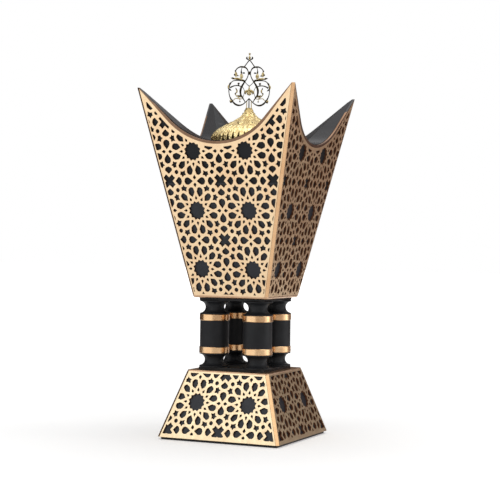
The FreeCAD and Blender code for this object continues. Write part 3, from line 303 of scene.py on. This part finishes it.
CUT_BROWN = (0.22, 0.095, 0.045)
SHEET_GOLD = satin_gold("sheet_gold", (0.83, 0.64, 0.41), (0.77, 0.535, 0.323), 0.33, CUT_BROWN)
BASE_GOLD = satin_gold("base_gold", (0.72, 0.595, 0.39), (0.66, 0.51, 0.325), 0.33, CUT_BROWN)
STRIP_GOLD = satin_gold("strip_gold", (0.72, 0.46, 0.255), (0.65, 0.385, 0.20), 0.27, CUT_BROWN)
RIM_SHADED_GOLD = shaded_lip_gold("rim_gold")
DECK_GOLD = satin_gold("deck_gold", (0.62, 0.42, 0.27), (0.52, 0.33, 0.20), 0.30)
BASE_STRIP_GOLD = satin_gold("base_strip_gold", (0.82, 0.54, 0.30), (0.76, 0.47, 0.24), 0.27,
                             CUT_BROWN)
RING_COPPER = turned_copper("ring_copper_gold")
PLATE_BLACK = painted_black("plate_black", (0.008, 0.008, 0.009), 0.42, 0.22)
COLUMN_BLACK = painted_black("column_black", (0.009, 0.0095, 0.011), 0.46, 0.22)
CARCASS_BLACK = painted_black("carcass_black", (0.015, 0.017, 0.022), 0.32, 0.28)
HEAD_BLACK = head_black("head_black")
FASTENER_STEEL = plain_steel("fastener_steel", (0.55, 0.56, 0.58), 0.35)
CUP_STEEL = plain_steel("cup_steel", (0.42, 0.41, 0.40), 0.38)
WIRE_DARK = antique_gold("finial_wire", (0.13, 0.10, 0.05), (0.020, 0.016, 0.010), 0.42, 0.22)
LEAF_GOLD = antique_gold("finial_leaf", (0.80, 0.69, 0.40), (0.30, 0.22, 0.09), 0.50, 0.18)
RELIEF_GOLD = relief_gold("lid_gold")

# A node gets the first finish whose start fits its name
NODE_FINISHES = (
    ("base_lattice", BASE_GOLD),
    ("bowl_lattice", SHEET_GOLD),
    ("base_corner_strip", BASE_STRIP_GOLD),
    ("bowl_corner_strip", STRIP_GOLD),
    ("rim_lip", RIM_SHADED_GOLD),
    ("base_deck", DECK_GOLD),
    ("bowl_bottom_plate", DECK_GOLD),
    ("column_lower_ring", RING_COPPER),
    ("column_upper_ring", RING_COPPER),
    ("column_", COLUMN_BLACK),
    ("foot_plate", PLATE_BLACK),
    ("lower_plate", PLATE_BLACK),
    ("upper_plate", PLATE_BLACK),
    ("base_carcass", CARCASS_BLACK),
    ("bowl_carcass", CARCASS_BLACK),
    ("bowl_head", HEAD_BLACK),
    ("charcoal_cup", CUP_STEEL),
    ("finial_collar", RELIEF_GOLD),
    ("", FASTENER_STEEL),
)


def paint(obj, finish):
    """Put one finish on every slot of an object."""
    slots = obj.data.materials
    if not slots:
        slots.append(finish.material)
    for index in range(len(slots)):
        slots[index] = finish.material


for name, obj in nodes.items():
    paint(obj, next(finish for start, finish in NODE_FINISHES if name.startswith(start)))


# Meshes of the finial and the lid, drawn in millimetres over the table

def mesh_piece(name, vertices, faces, finish, body):
    """New smooth piece from vertices in millimetres; it rides on a body."""
    data = bpy.data.meshes.new(name)
    data.from_pydata([tuple(MM * c for c in v) for v in vertices], [], faces)
    data.update()
    data.polygons.foreach_set("use_smooth", [True] * len(data.polygons))
    data.materials.append(finish.material)
    obj = bpy.data.objects.new(name, data)
    collection.objects.link(obj)
    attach(obj, body)
    return obj


LID_TURN = math.radians(24.2)


def turned_with_lid(x, y, z):
    """Point of the lid drawn facing -Y, after the lid's turn."""
    cos, sin = math.cos(LID_TURN), math.sin(LID_TURN)
    return (x * cos - y * sin, x * sin + y * cos, z)


# Steps of a smooth curve between two of its given points
CURVE_STEPS = 8


def smooth_curve(rows):
    """Rows of numbers along a Catmull-Rom curve through the given rows."""
    rows = [np.array(row) for row in rows]
    if len(rows) == 2:
        start, end = rows
        return [(start + (end - start) * t).tolist() for t in np.linspace(0, 1, CURVE_STEPS)]
    rows = [2 * rows[0] - rows[1]] + rows + [2 * rows[-1] - rows[-2]]
    path = []
    for p0, p1, p2, p3 in zip(rows, rows[1:], rows[2:], rows[3:]):
        for t in np.arange(CURVE_STEPS) / CURVE_STEPS:
            path.append(0.5 * (2 * p1 + (p2 - p0) * t + (2 * p0 - 5 * p1 + 4 * p2 - p3) * t ** 2
                               + (3 * p1 - p0 - 3 * p2 + p3) * t ** 3))
    path.append(rows[-2])
    return [row.tolist() for row in path]


def ring_faces(base, rings, sides):
    """Faces between rings of vertices that follow one another from base on."""
    faces = []
    for i in range(rings - 1):
        for k in range(sides):
            a = base + i * sides + k
            b = base + i * sides + (k + 1) % sides
            faces.append((a, b, b + sides, a + sides))
    return faces


# Share of their distance from the middle at which the finial's points are drawn
WIDTH_SHARE = 0.97


class Wires:
    """Bent wires, leaves and beads, drawn in the plane of the finial, all in one mesh."""

    SIDES = 10
    TURNED_SIDES = 36
    BEAD_RINGS = 10
    # Least radii at the ends of beads and of other bodies
    BEAD_TIP, TIP = 0.01, 0.02

    def __init__(self, weight):
        """weight is the share of their given radii at which all but turned bodies are drawn."""
        self.weight = weight
        self.vertices = []
        self.faces = []

    def tube(self, rows, depth, ahead):
        """Closed body through rows of place across, height and radius.

        depth is its extent front to back against its width, ahead how far it lies in front.
        """
        base = len(self.vertices)
        last = len(rows) - 1
        for i, (x, z, radius) in enumerate(rows):
            before, after = rows[max(i - 1, 0)], rows[min(i + 1, last)]
            run = Vector((after[0] - before[0], after[1] - before[1]))
            run.normalize()
            for k in range(self.SIDES):
                angle = 2 * math.pi * k / self.SIDES
                out = radius * self.weight * math.cos(angle)
                front = radius * self.weight * math.sin(angle) * depth
                self.vertices.append(turned_with_lid(x - run.y * out, front - ahead,
                                                     z + run.x * out))
        self.faces += ring_faces(base, len(rows), self.SIDES)
        for ring, order in ((0, 1), (last, -1)):
            x, z, _ = rows[ring]
            tip = len(self.vertices)
            self.vertices.append(turned_with_lid(x, -ahead, z))
            for k in range(self.SIDES):
                a = base + ring * self.SIDES + k
                b = base + ring * self.SIDES + (k + 1) % self.SIDES
                self.faces.append((b, a, tip)[::order])

    def sweep(self, points, radii, depth=1.0):
        """Body along a smooth curve through points; radii are given at those points."""
        rows = smooth_curve([(x, z, radius) for (x, z), radius in zip(points, radii)])
        self.tube([(x, z, max(radius, self.TIP)) for x, z, radius in rows], depth, 0.0)

    def both(self, points, radii, depth=1.0):
        """The same body at both sides of the middle."""
        points = [(WIDTH_SHARE * x, z) for x, z in points]
        self.sweep(points, radii, depth)
        self.sweep([(-x, z) for x, z in points], radii, depth)

    def bead(self, x, z, wide, high, depth=1.0, ahead=0.0):
        """Ellipsoid from its half width and half height."""
        angles = [math.pi * i / self.BEAD_RINGS for i in range(self.BEAD_RINGS + 1)]
        self.tube([(x, z - high * math.cos(a), max(wide * math.sin(a), self.BEAD_TIP))
                   for a in angles], depth, ahead)

    def beads(self, x, z, wide, high, depth=1.0):
        """The same bead at both sides of the middle."""
        self.bead(WIDTH_SHARE * x, z, wide, high, depth)
        self.bead(-WIDTH_SHARE * x, z, wide, high, depth)

    def turned(self, spots):
        """Turned body on the lid's axis from pairs of radius and height, bottom to top."""
        sides = self.TURNED_SIDES
        base = len(self.vertices)
        for radius, height in spots:
            for k in range(sides):
                angle = 2 * math.pi * k / sides
                self.vertices.append((radius * math.cos(angle), radius * math.sin(angle), height))
        self.faces += ring_faces(base, len(spots), sides)
        self.faces.append(tuple(base + k for k in reversed(range(sides))))
        top = base + (len(spots) - 1) * sides
        self.faces.append(tuple(top + k for k in range(sides)))


dark = Wires(1.2)
# Top: diagonals, crescents and the loops under them
dark.both([(0.0, 285.4), (2.0, 282.8), (4.1, 279.9)], [0.36, 0.30, 0.36])
dark.both([(0.35, 285.5), (1.6, 285.8), (2.25, 286.8), (1.8, 287.9)], [0.16, 0.42, 0.50, 0.10])
dark.both([(3.7, 279.7), (5.5, 280.0), (7.4, 279.85), (9.3, 278.9), (10.5, 277.6), (10.9, 276.5)],
          [0.52, 0.52, 0.44, 0.34, 0.30, 0.30])
dark.both([(4.3, 279.85), (2.6, 279.1), (1.35, 277.4), (0.85, 275.2), (1.20, 272.9), (2.2, 270.7),
           (3.5, 268.8)],
          [0.50, 0.44, 0.32, 0.28, 0.28, 0.34, 0.42])
dark.bead(0.0, 275.3, 0.80, 1.35, depth=0.9)
# Mid arcs that run on into the big outer scrolls
dark.both([(3.4, 268.6), (4.7, 269.6), (7.6, 269.8), (11.0, 269.6), (13.3, 268.8), (14.9, 266.9),
           (15.7, 264.2), (15.85, 261.2), (15.3, 258.0), (14.1, 255.4), (12.3, 253.0),
           (10.2, 251.35), (7.8, 250.75), (5.2, 251.4), (2.9, 253.1), (1.1, 254.9), (0.0, 256.2)],
          [0.50, 0.62, 0.46, 0.30, 0.28, 0.32, 0.32, 0.28, 0.30, 0.46, 0.52, 0.58, 0.52, 0.36,
           0.32, 0.28, 0.26])
# Heavy inner arcs
dark.both([(3.5, 268.9), (5.0, 266.5), (6.2, 264.3), (6.85, 261.7), (6.5, 258.8), (5.2, 256.8),
           (4.0, 254.9), (2.9, 253.2)],
          [0.42, 0.56, 0.64, 0.66, 0.52, 0.46, 0.32, 0.30])
dark.both([(6.0, 264.9), (8.5, 265.7), (11.0, 265.65), (13.2, 265.0), (14.9, 264.0)],
          [0.30, 0.36, 0.34, 0.42, 0.52])
dark.both([(3.5, 268.7), (1.9, 266.9), (0.1, 265.5)], [0.26, 0.20, 0.26])
dark.both([(5.3, 264.9), (3.8, 262.0), (4.1, 258.8), (5.1, 256.8)], [0.20, 0.18, 0.18, 0.22])
dark.both([(6.4, 258.0), (7.8, 257.9), (9.3, 258.4)], [0.46, 0.44, 0.16])
dark.beads(5.1, 256.7, 0.55, 0.60)
# Knobs on the arcs
dark.beads(8.35, 267.2, 0.76, 0.80)
dark.both([(8.35, 266.8), (8.3, 265.6)], [0.30, 0.26])
dark.beads(10.9, 276.8, 0.55, 0.62)
dark.both([(3.4, 275.2), (4.3, 275.35), (5.3, 275.2)], [0.10, 0.52, 0.24], depth=0.8)
dark.both([(5.2, 275.2), (6.3, 275.6)], [0.22, 0.26])
dark.both([(5.6, 279.8), (6.3, 277.9), (6.4, 275.6), (6.5, 274.8)], [0.24, 0.22, 0.46, 0.12],
          depth=0.8)
dark.both([(11.3, 274.7), (11.7, 273.9), (11.2, 273.0)], [0.10, 0.42, 0.10])
dark.both([(8.3, 273.0), (9.1, 273.25), (10.2, 272.8)], [0.10, 0.40, 0.10])
dark.both([(11.6, 270.8), (13.0, 271.3), (14.6, 271.4)], [0.30, 0.56, 0.06], depth=0.8)
dark.both([(14.0, 268.4), (15.0, 267.0), (15.7, 265.4)], [0.14, 0.60, 0.14], depth=0.8)
dark.both([(15.8, 263.2), (14.9, 262.5), (13.8, 261.6)], [0.36, 0.46, 0.06], depth=0.8)
dark.both([(10.5, 264.2), (10.3, 263.4), (9.9, 262.4)], [0.08, 0.34, 0.22], depth=0.8)
dark.both([(10.2, 260.4), (10.8, 259.6), (10.7, 258.6)], [0.20, 0.40, 0.16], depth=0.8)
dark.both([(12.9, 255.0), (13.9, 253.0), (14.9, 253.0)], [0.30, 0.44, 0.14], depth=0.8)
dark.beads(7.15, 253.6, 0.46, 0.58)
dark.both([(0.0, 263.0), (1.2, 261.9), (2.6, 261.2)], [0.40, 0.34, 0.20])

light = Wires(1.1)
# Top bud on its neck
light.sweep([(0.0, 285.2), (0.0, 287.0), (0.0, 288.4), (0.0, 289.4)], [0.42, 0.62, 0.34, 0.30])
light.bead(0.0, 286.9, 0.85, 1.15)
light.bead(0.0, 289.85, 0.74, 0.78)
# Leaves that hang in the upper loops and lie under them
light.both([(6.4, 275.0), (6.25, 273.6), (6.1, 272.2), (6.0, 270.9)], [0.30, 1.05, 1.10, 0.30],
           depth=0.45)
light.both([(10.8, 276.3), (10.6, 275.0), (10.4, 273.6), (10.5, 272.3)], [0.30, 0.86, 0.90, 0.30],
           depth=0.5)
light.both([(4.9, 270.1), (7.6, 270.8), (10.4, 271.0), (13.2, 270.8)], [0.26, 0.60, 0.70, 0.40],
           depth=0.5)
# Bulging leaves outside the mid arcs, and the outer buds
light.both([(15.3, 266.7), (16.2, 265.4), (16.3, 263.9), (15.7, 262.6)], [0.14, 0.46, 0.46, 0.12],
           depth=0.7)
light.beads(14.25, 254.0, 0.90, 0.95, depth=0.8)
# Curled leaf inside the lower loops
light.both([(10.4, 263.5), (9.6, 262.1), (9.7, 260.8), (10.6, 259.6)], [0.18, 0.50, 0.46, 0.20],
           depth=0.6)
light.both([(10.7, 259.2), (9.8, 257.9), (8.2, 257.3), (6.4, 257.2), (5.2, 256.8)],
           [0.30, 0.40, 0.40, 0.34, 0.24])
light.both([(9.4, 257.6), (8.0, 256.3), (6.2, 255.6), (5.2, 256.5)], [0.24, 0.28, 0.26, 0.20])
light.both([(6.2, 255.6), (8.4, 255.8), (10.6, 256.0), (12.6, 254.2)], [0.22, 0.28, 0.28, 0.22])
light.both([(7.4, 255.9), (7.2, 254.7), (7.15, 254.0)], [0.20, 0.20, 0.24])
# Middle fleur
light.sweep([(0.0, 265.6), (0.0, 264.2), (0.0, 262.8), (0.0, 261.4)], [0.34, 0.44, 0.70, 0.40])
light.both([(0.2, 262.6), (1.6, 261.9), (3.0, 260.8), (2.7, 259.2)], [0.42, 0.74, 0.84, 0.28],
           depth=0.8)
light.both([(0.3, 261.6), (1.2, 260.2), (1.0, 258.5)], [0.36, 0.66, 0.20], depth=0.8)
light.sweep([(0.0, 261.8), (0.0, 259.9), (0.0, 257.9)], [0.50, 0.78, 0.16], depth=0.9)
light.both([(2.4, 260.2), (3.4, 260.6), (4.0, 260.2)], [0.24, 0.22, 0.16])
# Stem rods, the foot they stand on and the stud under it
dark.sweep([(0.0, 256.3), (0.0, 252.5), (0.0, 248.6)], [0.32, 0.34, 0.38])
light.both([(1.70, 254.0), (1.80, 251.5), (1.90, 248.6)], [0.24, 0.30, 0.34])
light.turned([(1.25, 242.1), (1.25, 248.3), (2.30, 248.3), (2.50, 248.42), (2.50, 248.65),
              (2.3, 248.8), (0.9, 248.85)])

# Small dark knobs round the dome: number, distance from the axis, height and first angle
KNOB_RADIUS = 0.42
for count, reach, height, first in ((8, 4.75, 244.4, 0.35), (10, 17.3, 236.3, 0.78)):
    for k in range(count):
        angle = first + 2 * math.pi * k / count
        dark.bead(reach * math.sin(angle), height, KNOB_RADIUS, KNOB_RADIUS,
                  ahead=reach * math.cos(angle))

finial_wire = mesh_piece("finial_wire", dark.vertices, dark.faces, WIRE_DARK, "lid")
finial_leaf = mesh_piece("finial_leaf", light.vertices, light.faces, LEAF_GOLD, "lid")
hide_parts("lid_finial")
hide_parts("lid_finial")


# Lid dome: raised flowers and leaves over a ring of smoke slots

LID_SEAT = 199.4
# Dome from the top of its straight skirt to its neck: radius and height
DOME_SPOTS = [(28.5, 226.2), (27.7, 228.0), (26.0, 229.9), (23.7, 231.9), (21.2, 233.6),
              (18.4, 235.3), (15.3, 237.0), (11.2, 239.2), (7.4, 241.6), (5.0, 243.8),
              (3.8, 245.8), (3.3, 247.4)]
SKIRT_RADIUS, SKIRT_TOP = DOME_SPOTS[0]
WALL = 1.0
STUD_BORE = 1.35
# Rows of the mesh, few enough that the export keeps them all
SKIRT_ROWS, DOME_ROWS = 28, 78

SLOTS = 40
SLOT_LOW, SLOT_HIGH = 205.4, 229.8
SLOT_HALF_WIDTH = 1.2
# Shares of a slot's height over which its foot and its tip narrow, and how the tip does it
SLOT_FOOT, SLOT_TIP, TIP_POWER = 0.06, 0.34, 0.8

# Columns of the mesh: their places from -1 to 1 between two ribs, and the slots' middle angles
PER_SLOT = 12
COLUMNS = SLOTS * PER_SLOT
HALF_PITCH = math.pi / SLOTS
SHARE_IN_SLOT = 2 / PER_SLOT
PLACES = (np.arange(COLUMNS) % PER_SLOT) / PER_SLOT * 2 - 1
MIDDLES = np.floor(np.arange(COLUMNS) / PER_SLOT) * 2 * HALF_PITCH

# Raised work: its height over the dome, the ground's depth, where it starts and where it ends
RELIEF_HEIGHT, GROUND_DEPTH = 0.38, 0.12
RELIEF_FOOT, RELIEF_FADE = 227.2, 2.2
NECK_FOOT, NECK_FADE = 246.2, 1.0
# Ribs between the slots, and a bead round the skirt's foot
RIB_HEIGHT, RIB_SHARE, RIB_FADE = 0.50, 0.82, 1.5
BEAD_HEIGHT, BEAD_PLACE, BEAD_WIDTH = 0.5, 202.6, 1.1


def dome_profile():
    """Rows of the lid from its seat to its neck, closer on the dome.

    Gives the radius and height of each row, its distance along the profile, and the
    direction out of the dome.
    """
    spots = [(SKIRT_RADIUS, z) for z in np.linspace(LID_SEAT, SKIRT_TOP, 30)]
    spots = np.array(spots + smooth_curve(DOME_SPOTS)[1:])
    run = np.concatenate(([0], np.cumsum(np.hypot(*np.diff(spots, axis=0).T))))
    skirt = SKIRT_TOP - LID_SEAT
    rows = np.concatenate((np.linspace(0, skirt, SKIRT_ROWS, endpoint=False),
                           np.linspace(skirt, run[-1], DOME_ROWS)))
    profile = np.column_stack([np.interp(rows, run, spots[:, i]) for i in (0, 1)])
    slope = np.gradient(profile, axis=0)
    slope /= np.linalg.norm(slope, axis=1)[:, None]
    return profile, rows, np.column_stack((slope[:, 1], -slope[:, 0]))


profile, run, outward = dome_profile()


def slot_half(z):
    """Half width of a smoke slot at a height: a leaf shape, wide below, pointed above."""
    share = (z - SLOT_LOW) / (SLOT_HIGH - SLOT_LOW)
    if not 0 < share < 1:
        return 0.0
    foot = min(1.0, math.sqrt(share / SLOT_FOOT))
    tip = min(1.0, (max(1 - share, 0) / SLOT_TIP) ** TIP_POWER)
    return SLOT_HALF_WIDTH * foot * tip


def smooth_step(x):
    """Soft rise from 0 to 1 where x goes from 0 to 1."""
    x = np.clip(x, 0, 1)
    return x * x * (3 - 2 * x)


def flower(x, y, size, petals):
    """Height of a flower: round petals and a middle boss."""
    softness, crease_width = 0.16, 0.22
    boss_height, boss_radius = 0.9, 0.24
    hollow_depth, hollow_radius, hollow_width = 0.35, 0.30, 0.07
    r = np.hypot(x, y) / size
    t = np.arctan2(y, x)
    edge = 0.80 + 0.20 * np.cos(petals * t)
    bulge = 0.55 + 0.45 * np.sin(np.clip(r / edge, 0, 1) * math.pi)
    petal = smooth_step((edge - r) / softness) * bulge
    crease = np.exp(-((np.cos(petals * t / 2)) / crease_width) ** 2)
    crease = 0.30 * crease * smooth_step(r / 0.3)
    boss = np.sqrt(np.clip(1 - (r / boss_radius) ** 2, 0, 1)) * boss_height
    hollow = hollow_depth * np.exp(-((r - hollow_radius) / hollow_width) ** 2)
    return np.maximum(petal * (1 - crease) - hollow, boss)


def leaf(x, y, length, width):
    """Height of a leaf that points along +y, with a vein and small side veins."""
    vein_depth, vein_width = 0.35, 0.16
    side_height, side_slant, side_pitch = 0.16, 1.1, 1.0
    least = 0.001
    share = y / length + 0.5
    inside = (share > 0) & (share < 1)
    edge = width / 2 * np.where(inside, np.sin(np.clip(share, 0, 1) * math.pi) ** 0.7, least)
    across = np.abs(x) / np.maximum(edge, least)
    body = np.sqrt(np.clip(1 - across ** 2, 0, 1))
    vein = vein_depth * np.exp(-(x / vein_width) ** 2)
    waves = np.cos((y - np.abs(x) * side_slant) * 2 * math.pi / side_pitch)
    side_veins = side_height * waves * np.clip(across, 0, 1)
    return np.where(inside, np.clip(body * (0.8 + side_veins) - vein * body, 0, 1.2), 0.0)


# Rings of motifs: number, height of the dome and distance above it, turn as a share of the
# pitch, motif with its height and sizes
MOTIFS = (
    (20, 230.4, 0.0, 0.0, leaf, 0.85, (7.0, 4.6)),
    (20, 230.4, 0.8, 0.5, flower, 0.95, (2.9, 6)),
    (16, 232.6, 1.6, 0.25, flower, 0.95, (2.5, 5)),
    (16, 232.6, 2.2, 0.75, leaf, 0.80, (5.8, 2.9)),
    (12, 236.0, 1.6, 0.1, leaf, 0.90, (6.4, 4.2)),
    (10, 239.6, 0.8, 0.4, leaf, 0.95, (6.0, 3.9)),
    (8, 243.6, -0.3, 0.15, leaf, 1.00, (5.4, 3.4)),
)


def relief(angles, s):
    """Flowers and leaves at angles and distances along the profile, 0 to about 1."""
    raised = np.zeros_like(angles)
    radius = np.interp(s, run, profile[:, 0])
    for count, height, above, offset, motif, strength, sizes in MOTIFS:
        pitch = 2 * math.pi / count
        turn = (angles / pitch - offset + 0.5) % 1.0 - 0.5
        at = float(np.interp(height, profile[:, 1], run)) + above
        raised = np.maximum(raised, strength * motif(turn * pitch * radius, s - at, *sizes))
    return raised


def column_angles(radius, z):
    """Angles of one row's columns, with two of them on the edges of each slot there."""
    half = slot_half(z)
    if half == 0:
        return MIDDLES + PLACES * HALF_PITCH
    half_angle = half / radius
    inside = np.abs(PLACES) <= SHARE_IN_SLOT + 1e-9
    narrow = np.abs(PLACES) / SHARE_IN_SLOT * half_angle
    plain = np.maximum(np.abs(PLACES) - SHARE_IN_SLOT, 0) / (1 - SHARE_IN_SLOT)
    wide = half_angle + plain * (HALF_PITCH - half_angle)
    return MIDDLES + np.sign(PLACES) * np.where(inside, narrow, wide)


def raised_work(angles, z, s):
    """Height of the raised work on one row's columns, 0 to about 1."""
    above = smooth_step((z - RELIEF_FOOT) / RELIEF_FADE)
    raised = relief(angles, np.full(COLUMNS, s)) * above
    ribs = np.sqrt(np.clip(1 - ((1 - np.abs(PLACES)) / RIB_SHARE) ** 2, 0, 1))
    ribs = RIB_HEIGHT * ribs * (1 - above) * smooth_step((z - SLOT_LOW) / RIB_FADE)
    bead = BEAD_HEIGHT * math.exp(-((z - BEAD_PLACE) / BEAD_WIDTH) ** 2)
    return np.maximum(np.maximum(raised, ribs), bead)


def shell_faces():
    """Faces of the lid's outer and inner wall, of the slots' walls and of its two ends."""
    rows = len(profile)
    total = rows * COLUMNS
    has_slot = np.array([slot_half(z) > 0 for z in profile[:, 1]])
    in_slot = np.abs(PLACES + 1 / PER_SLOT) < SHARE_IN_SLOT
    opened = np.outer(has_slot[:-1] & has_slot[1:], in_slot)
    faces = []
    for j in range(rows - 1):
        for i in range(COLUMNS):
            if opened[j, i]:
                continue
            k = (i + 1) % COLUMNS
            a, b = j * COLUMNS + i, j * COLUMNS + k
            c, d = b + COLUMNS, a + COLUMNS
            faces.append((a, b, c, d))
            faces.append((total + b, total + a, total + d, total + c))
            if opened[j, k]:
                faces.append((b, total + b, total + c, c))
            if opened[j, i - 1]:
                faces.append((d, total + d, total + a, a))
            if j + 1 < rows - 1 and opened[j + 1, i]:
                faces.append((c, total + c, total + d, d))
            if j > 0 and opened[j - 1, i]:
                faces.append((a, total + a, total + b, b))
    top = (rows - 1) * COLUMNS
    for i in range(COLUMNS):
        k = (i + 1) % COLUMNS
        faces.append((k, i, total + i, total + k))
        faces.append((top + i, top + k, total + top + k, total + top + i))
    return faces


def lid_shell():
    """Closed mesh of the lid with real slots: vertices, faces and the relief of each vertex."""
    outer, inner, relief_there = [], [], []
    for (radius, z), (out, up), s in zip(profile, outward, run):
        angles = column_angles(radius, z)
        raised = raised_work(angles, z, s)
        neck = 1 - smooth_step((z - NECK_FOOT) / NECK_FADE)
        lifts = (RELIEF_HEIGHT * raised - GROUND_DEPTH) * neck
        deep = max(radius - out * WALL, STUD_BORE)
        for angle, lift in zip(angles, lifts):
            r = radius + out * lift
            outer.append((r * math.cos(angle), r * math.sin(angle), z + up * lift))
            inner.append((deep * math.cos(angle), deep * math.sin(angle), z - up * WALL))
        relief_there.extend(raised)
    return outer + inner, shell_faces(), relief_there + [0.0] * len(inner)


vertices, faces, raised = lid_shell()
lid_shape = mesh_piece("lid_relief", vertices, faces, RELIEF_GOLD, "lid")
layer = lid_shape.data.attributes.new(RAISED, "FLOAT", "POINT")
layer.data.foreach_set("value", np.array(raised, np.float32))
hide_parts("lid_dome")


# Studio: white floor and surroundings, dark flags at the sides, soft boxes; in metres

def stage_plane(name, corners, tone):
    """Matt plane of the studio and its finish."""
    data = bpy.data.meshes.new(name)
    data.from_pydata(corners, [], [(0, 1, 2, 3)])
    plane = bpy.data.objects.new(name, data)
    collection.objects.link(plane)
    finish = Finish(name, Base_Color=tone, Specular_IOR_Level=0.0, Roughness=0.9)
    data.materials.append(finish.material)
    return plane, finish


def studio_floor():
    """White floor that keeps the object's shadow and runs into the white surroundings."""
    size = 6.0
    near, far = 0.10, 2.00
    near_glow, far_glow = 0.30, 1.0
    corners = [(-size, -size, 0), (size, -size, 0), (size, size, 0), (-size, size, 0)]
    _, finish = stage_plane("studio_floor", corners, (0.90, 0.90, 0.90))
    reach = finish.node("ShaderNodeVectorMath", {0: finish.place}, operation="LENGTH")
    glow = finish.spread(reach.outputs["Value"], near, far, near_glow, far_glow)
    strength = finish.math("MULTIPLY", glow, finish.seen_rays())
    light = finish.node("ShaderNodeEmission", {"Strength": strength})
    total = finish.node("ShaderNodeAddShader", {0: finish.shader.outputs[0], 1: light.outputs[0]})
    output = next(n for n in finish.tree.nodes if n.type == "OUTPUT_MATERIAL")
    finish.feed(output.inputs[0], total.outputs[0])


def dark_flag(name, place, width, height, tone):
    """Upright board that faces the burner and shows only in its gloss."""
    x, y = place
    reach = math.hypot(x, y)
    across, along = -y / reach * width / 2, x / reach * width / 2
    corners = [(x - across, y - along, 0.0), (x + across, y + along, 0.0),
               (x + across, y + along, height), (x - across, y - along, height)]
    plane, _ = stage_plane(name, corners, tone)
    for kind in ("camera", "diffuse", "shadow", "transmission", "volume_scatter"):
        setattr(plane, f"visible_{kind}", False)


def studio_world():
    """White surroundings, seen and mirrored at full white, that light the burner more softly."""
    lighting, seen = 0.50, 1.0
    world = bpy.data.worlds.new("studio")
    bpy.context.scene.world = world
    world.use_nodes = True
    world.node_tree.nodes.clear()
    graph = Graph(world.node_tree)
    lights = [graph.node("ShaderNodeBackground", {"Color": WHITE, "Strength": strength})
              for strength in (lighting, seen)]
    mix = graph.node("ShaderNodeMixShader", {0: graph.seen_rays(), 1: lights[0].outputs[0],
                                             2: lights[1].outputs[0]})
    graph.node("ShaderNodeOutputWorld", {0: mix.outputs[0]})


def soft_box(name, place, aim, width, height, radiance):
    """Soft box whose own brightness is given, where white is 1."""
    data = bpy.data.lights.new(name, "AREA")
    data.shape = "RECTANGLE"
    data.size = width
    data.size_y = height
    data.energy = radiance * math.pi * width * height
    lamp = bpy.data.objects.new(name, data)
    collection.objects.link(lamp)
    lamp.location = place
    lamp.rotation_mode = "QUATERNION"
    lamp.rotation_quaternion = (Vector(aim) - Vector(place)).to_track_quat("-Z", "Y")


studio_floor()
studio_world()
dark_flag("flag_right", (0.24, 0.42), 0.42, 0.55, (0.34, 0.26, 0.25))
dark_flag("flag_left", (-0.46, 0.14), 0.80, 0.50, (0.10, 0.07, 0.055))
dark_flag("flag_back", (-0.27, 0.60), 0.50, 0.60, (0.12, 0.08, 0.06))
dark_flag("flag_front", (0.61, -0.66), 1.30, 0.25, (0.40, 0.30, 0.24))
soft_box("key", (-0.55, -1.18, 0.85), (0, 0, 0.14), 0.7, 0.7, 1.2)
soft_box("fill", (1.10, 0.35, 0.40), (0, 0, 0.14), 0.30, 0.80, 2.2)
soft_box("corner", (0.95, -0.42, 0.85), (0, 0, 0.03), 0.45, 0.45, 0.5)
soft_box("top", (0.05, 0.10, 1.35), (0, 0, 0.15), 1.1, 1.1, 1.3)


# Camera at the photograph's viewpoint: its angles in degrees, its focal length and the
# photograph's width in pixels, and, in metres, the point it looks at and its distance from it
AZIMUTH, ELEVATION, ROLL = 24.153, 0.354, 0.843
FOCAL_PIXELS, PHOTO_PIXELS = 1419.01, 500
SENSOR_WIDTH = 36.0
AIM_HEIGHT, AIM_ACROSS = 0.141184, 0.002400
DISTANCE = 1.07664


def photo_camera():
    azimuth, elevation, roll = (math.radians(a) for a in (AZIMUTH, ELEVATION, ROLL))
    back = Vector((math.sin(azimuth) * math.cos(elevation),
                   -math.cos(azimuth) * math.cos(elevation), math.sin(elevation)))
    right = Vector((math.cos(azimuth), math.sin(azimuth), 0))
    up = back.cross(right)
    across = math.cos(roll) * right + math.sin(roll) * up
    upward = -math.sin(roll) * right + math.cos(roll) * up
    data = bpy.data.cameras.new("camera")
    data.sensor_width = SENSOR_WIDTH
    data.lens = FOCAL_PIXELS / PHOTO_PIXELS * SENSOR_WIDTH
    camera = bpy.data.objects.new("camera", data)
    collection.objects.link(camera)
    place = Matrix.Translation(Vector((0, 0, AIM_HEIGHT)) + AIM_ACROSS * across + DISTANCE * back)
    camera.matrix_world = place @ Matrix((across, upward, back)).transposed().to_4x4()
    bpy.context.scene.camera = camera


photo_camera()
bpy.context.scene.view_settings.view_transform = "Standard"
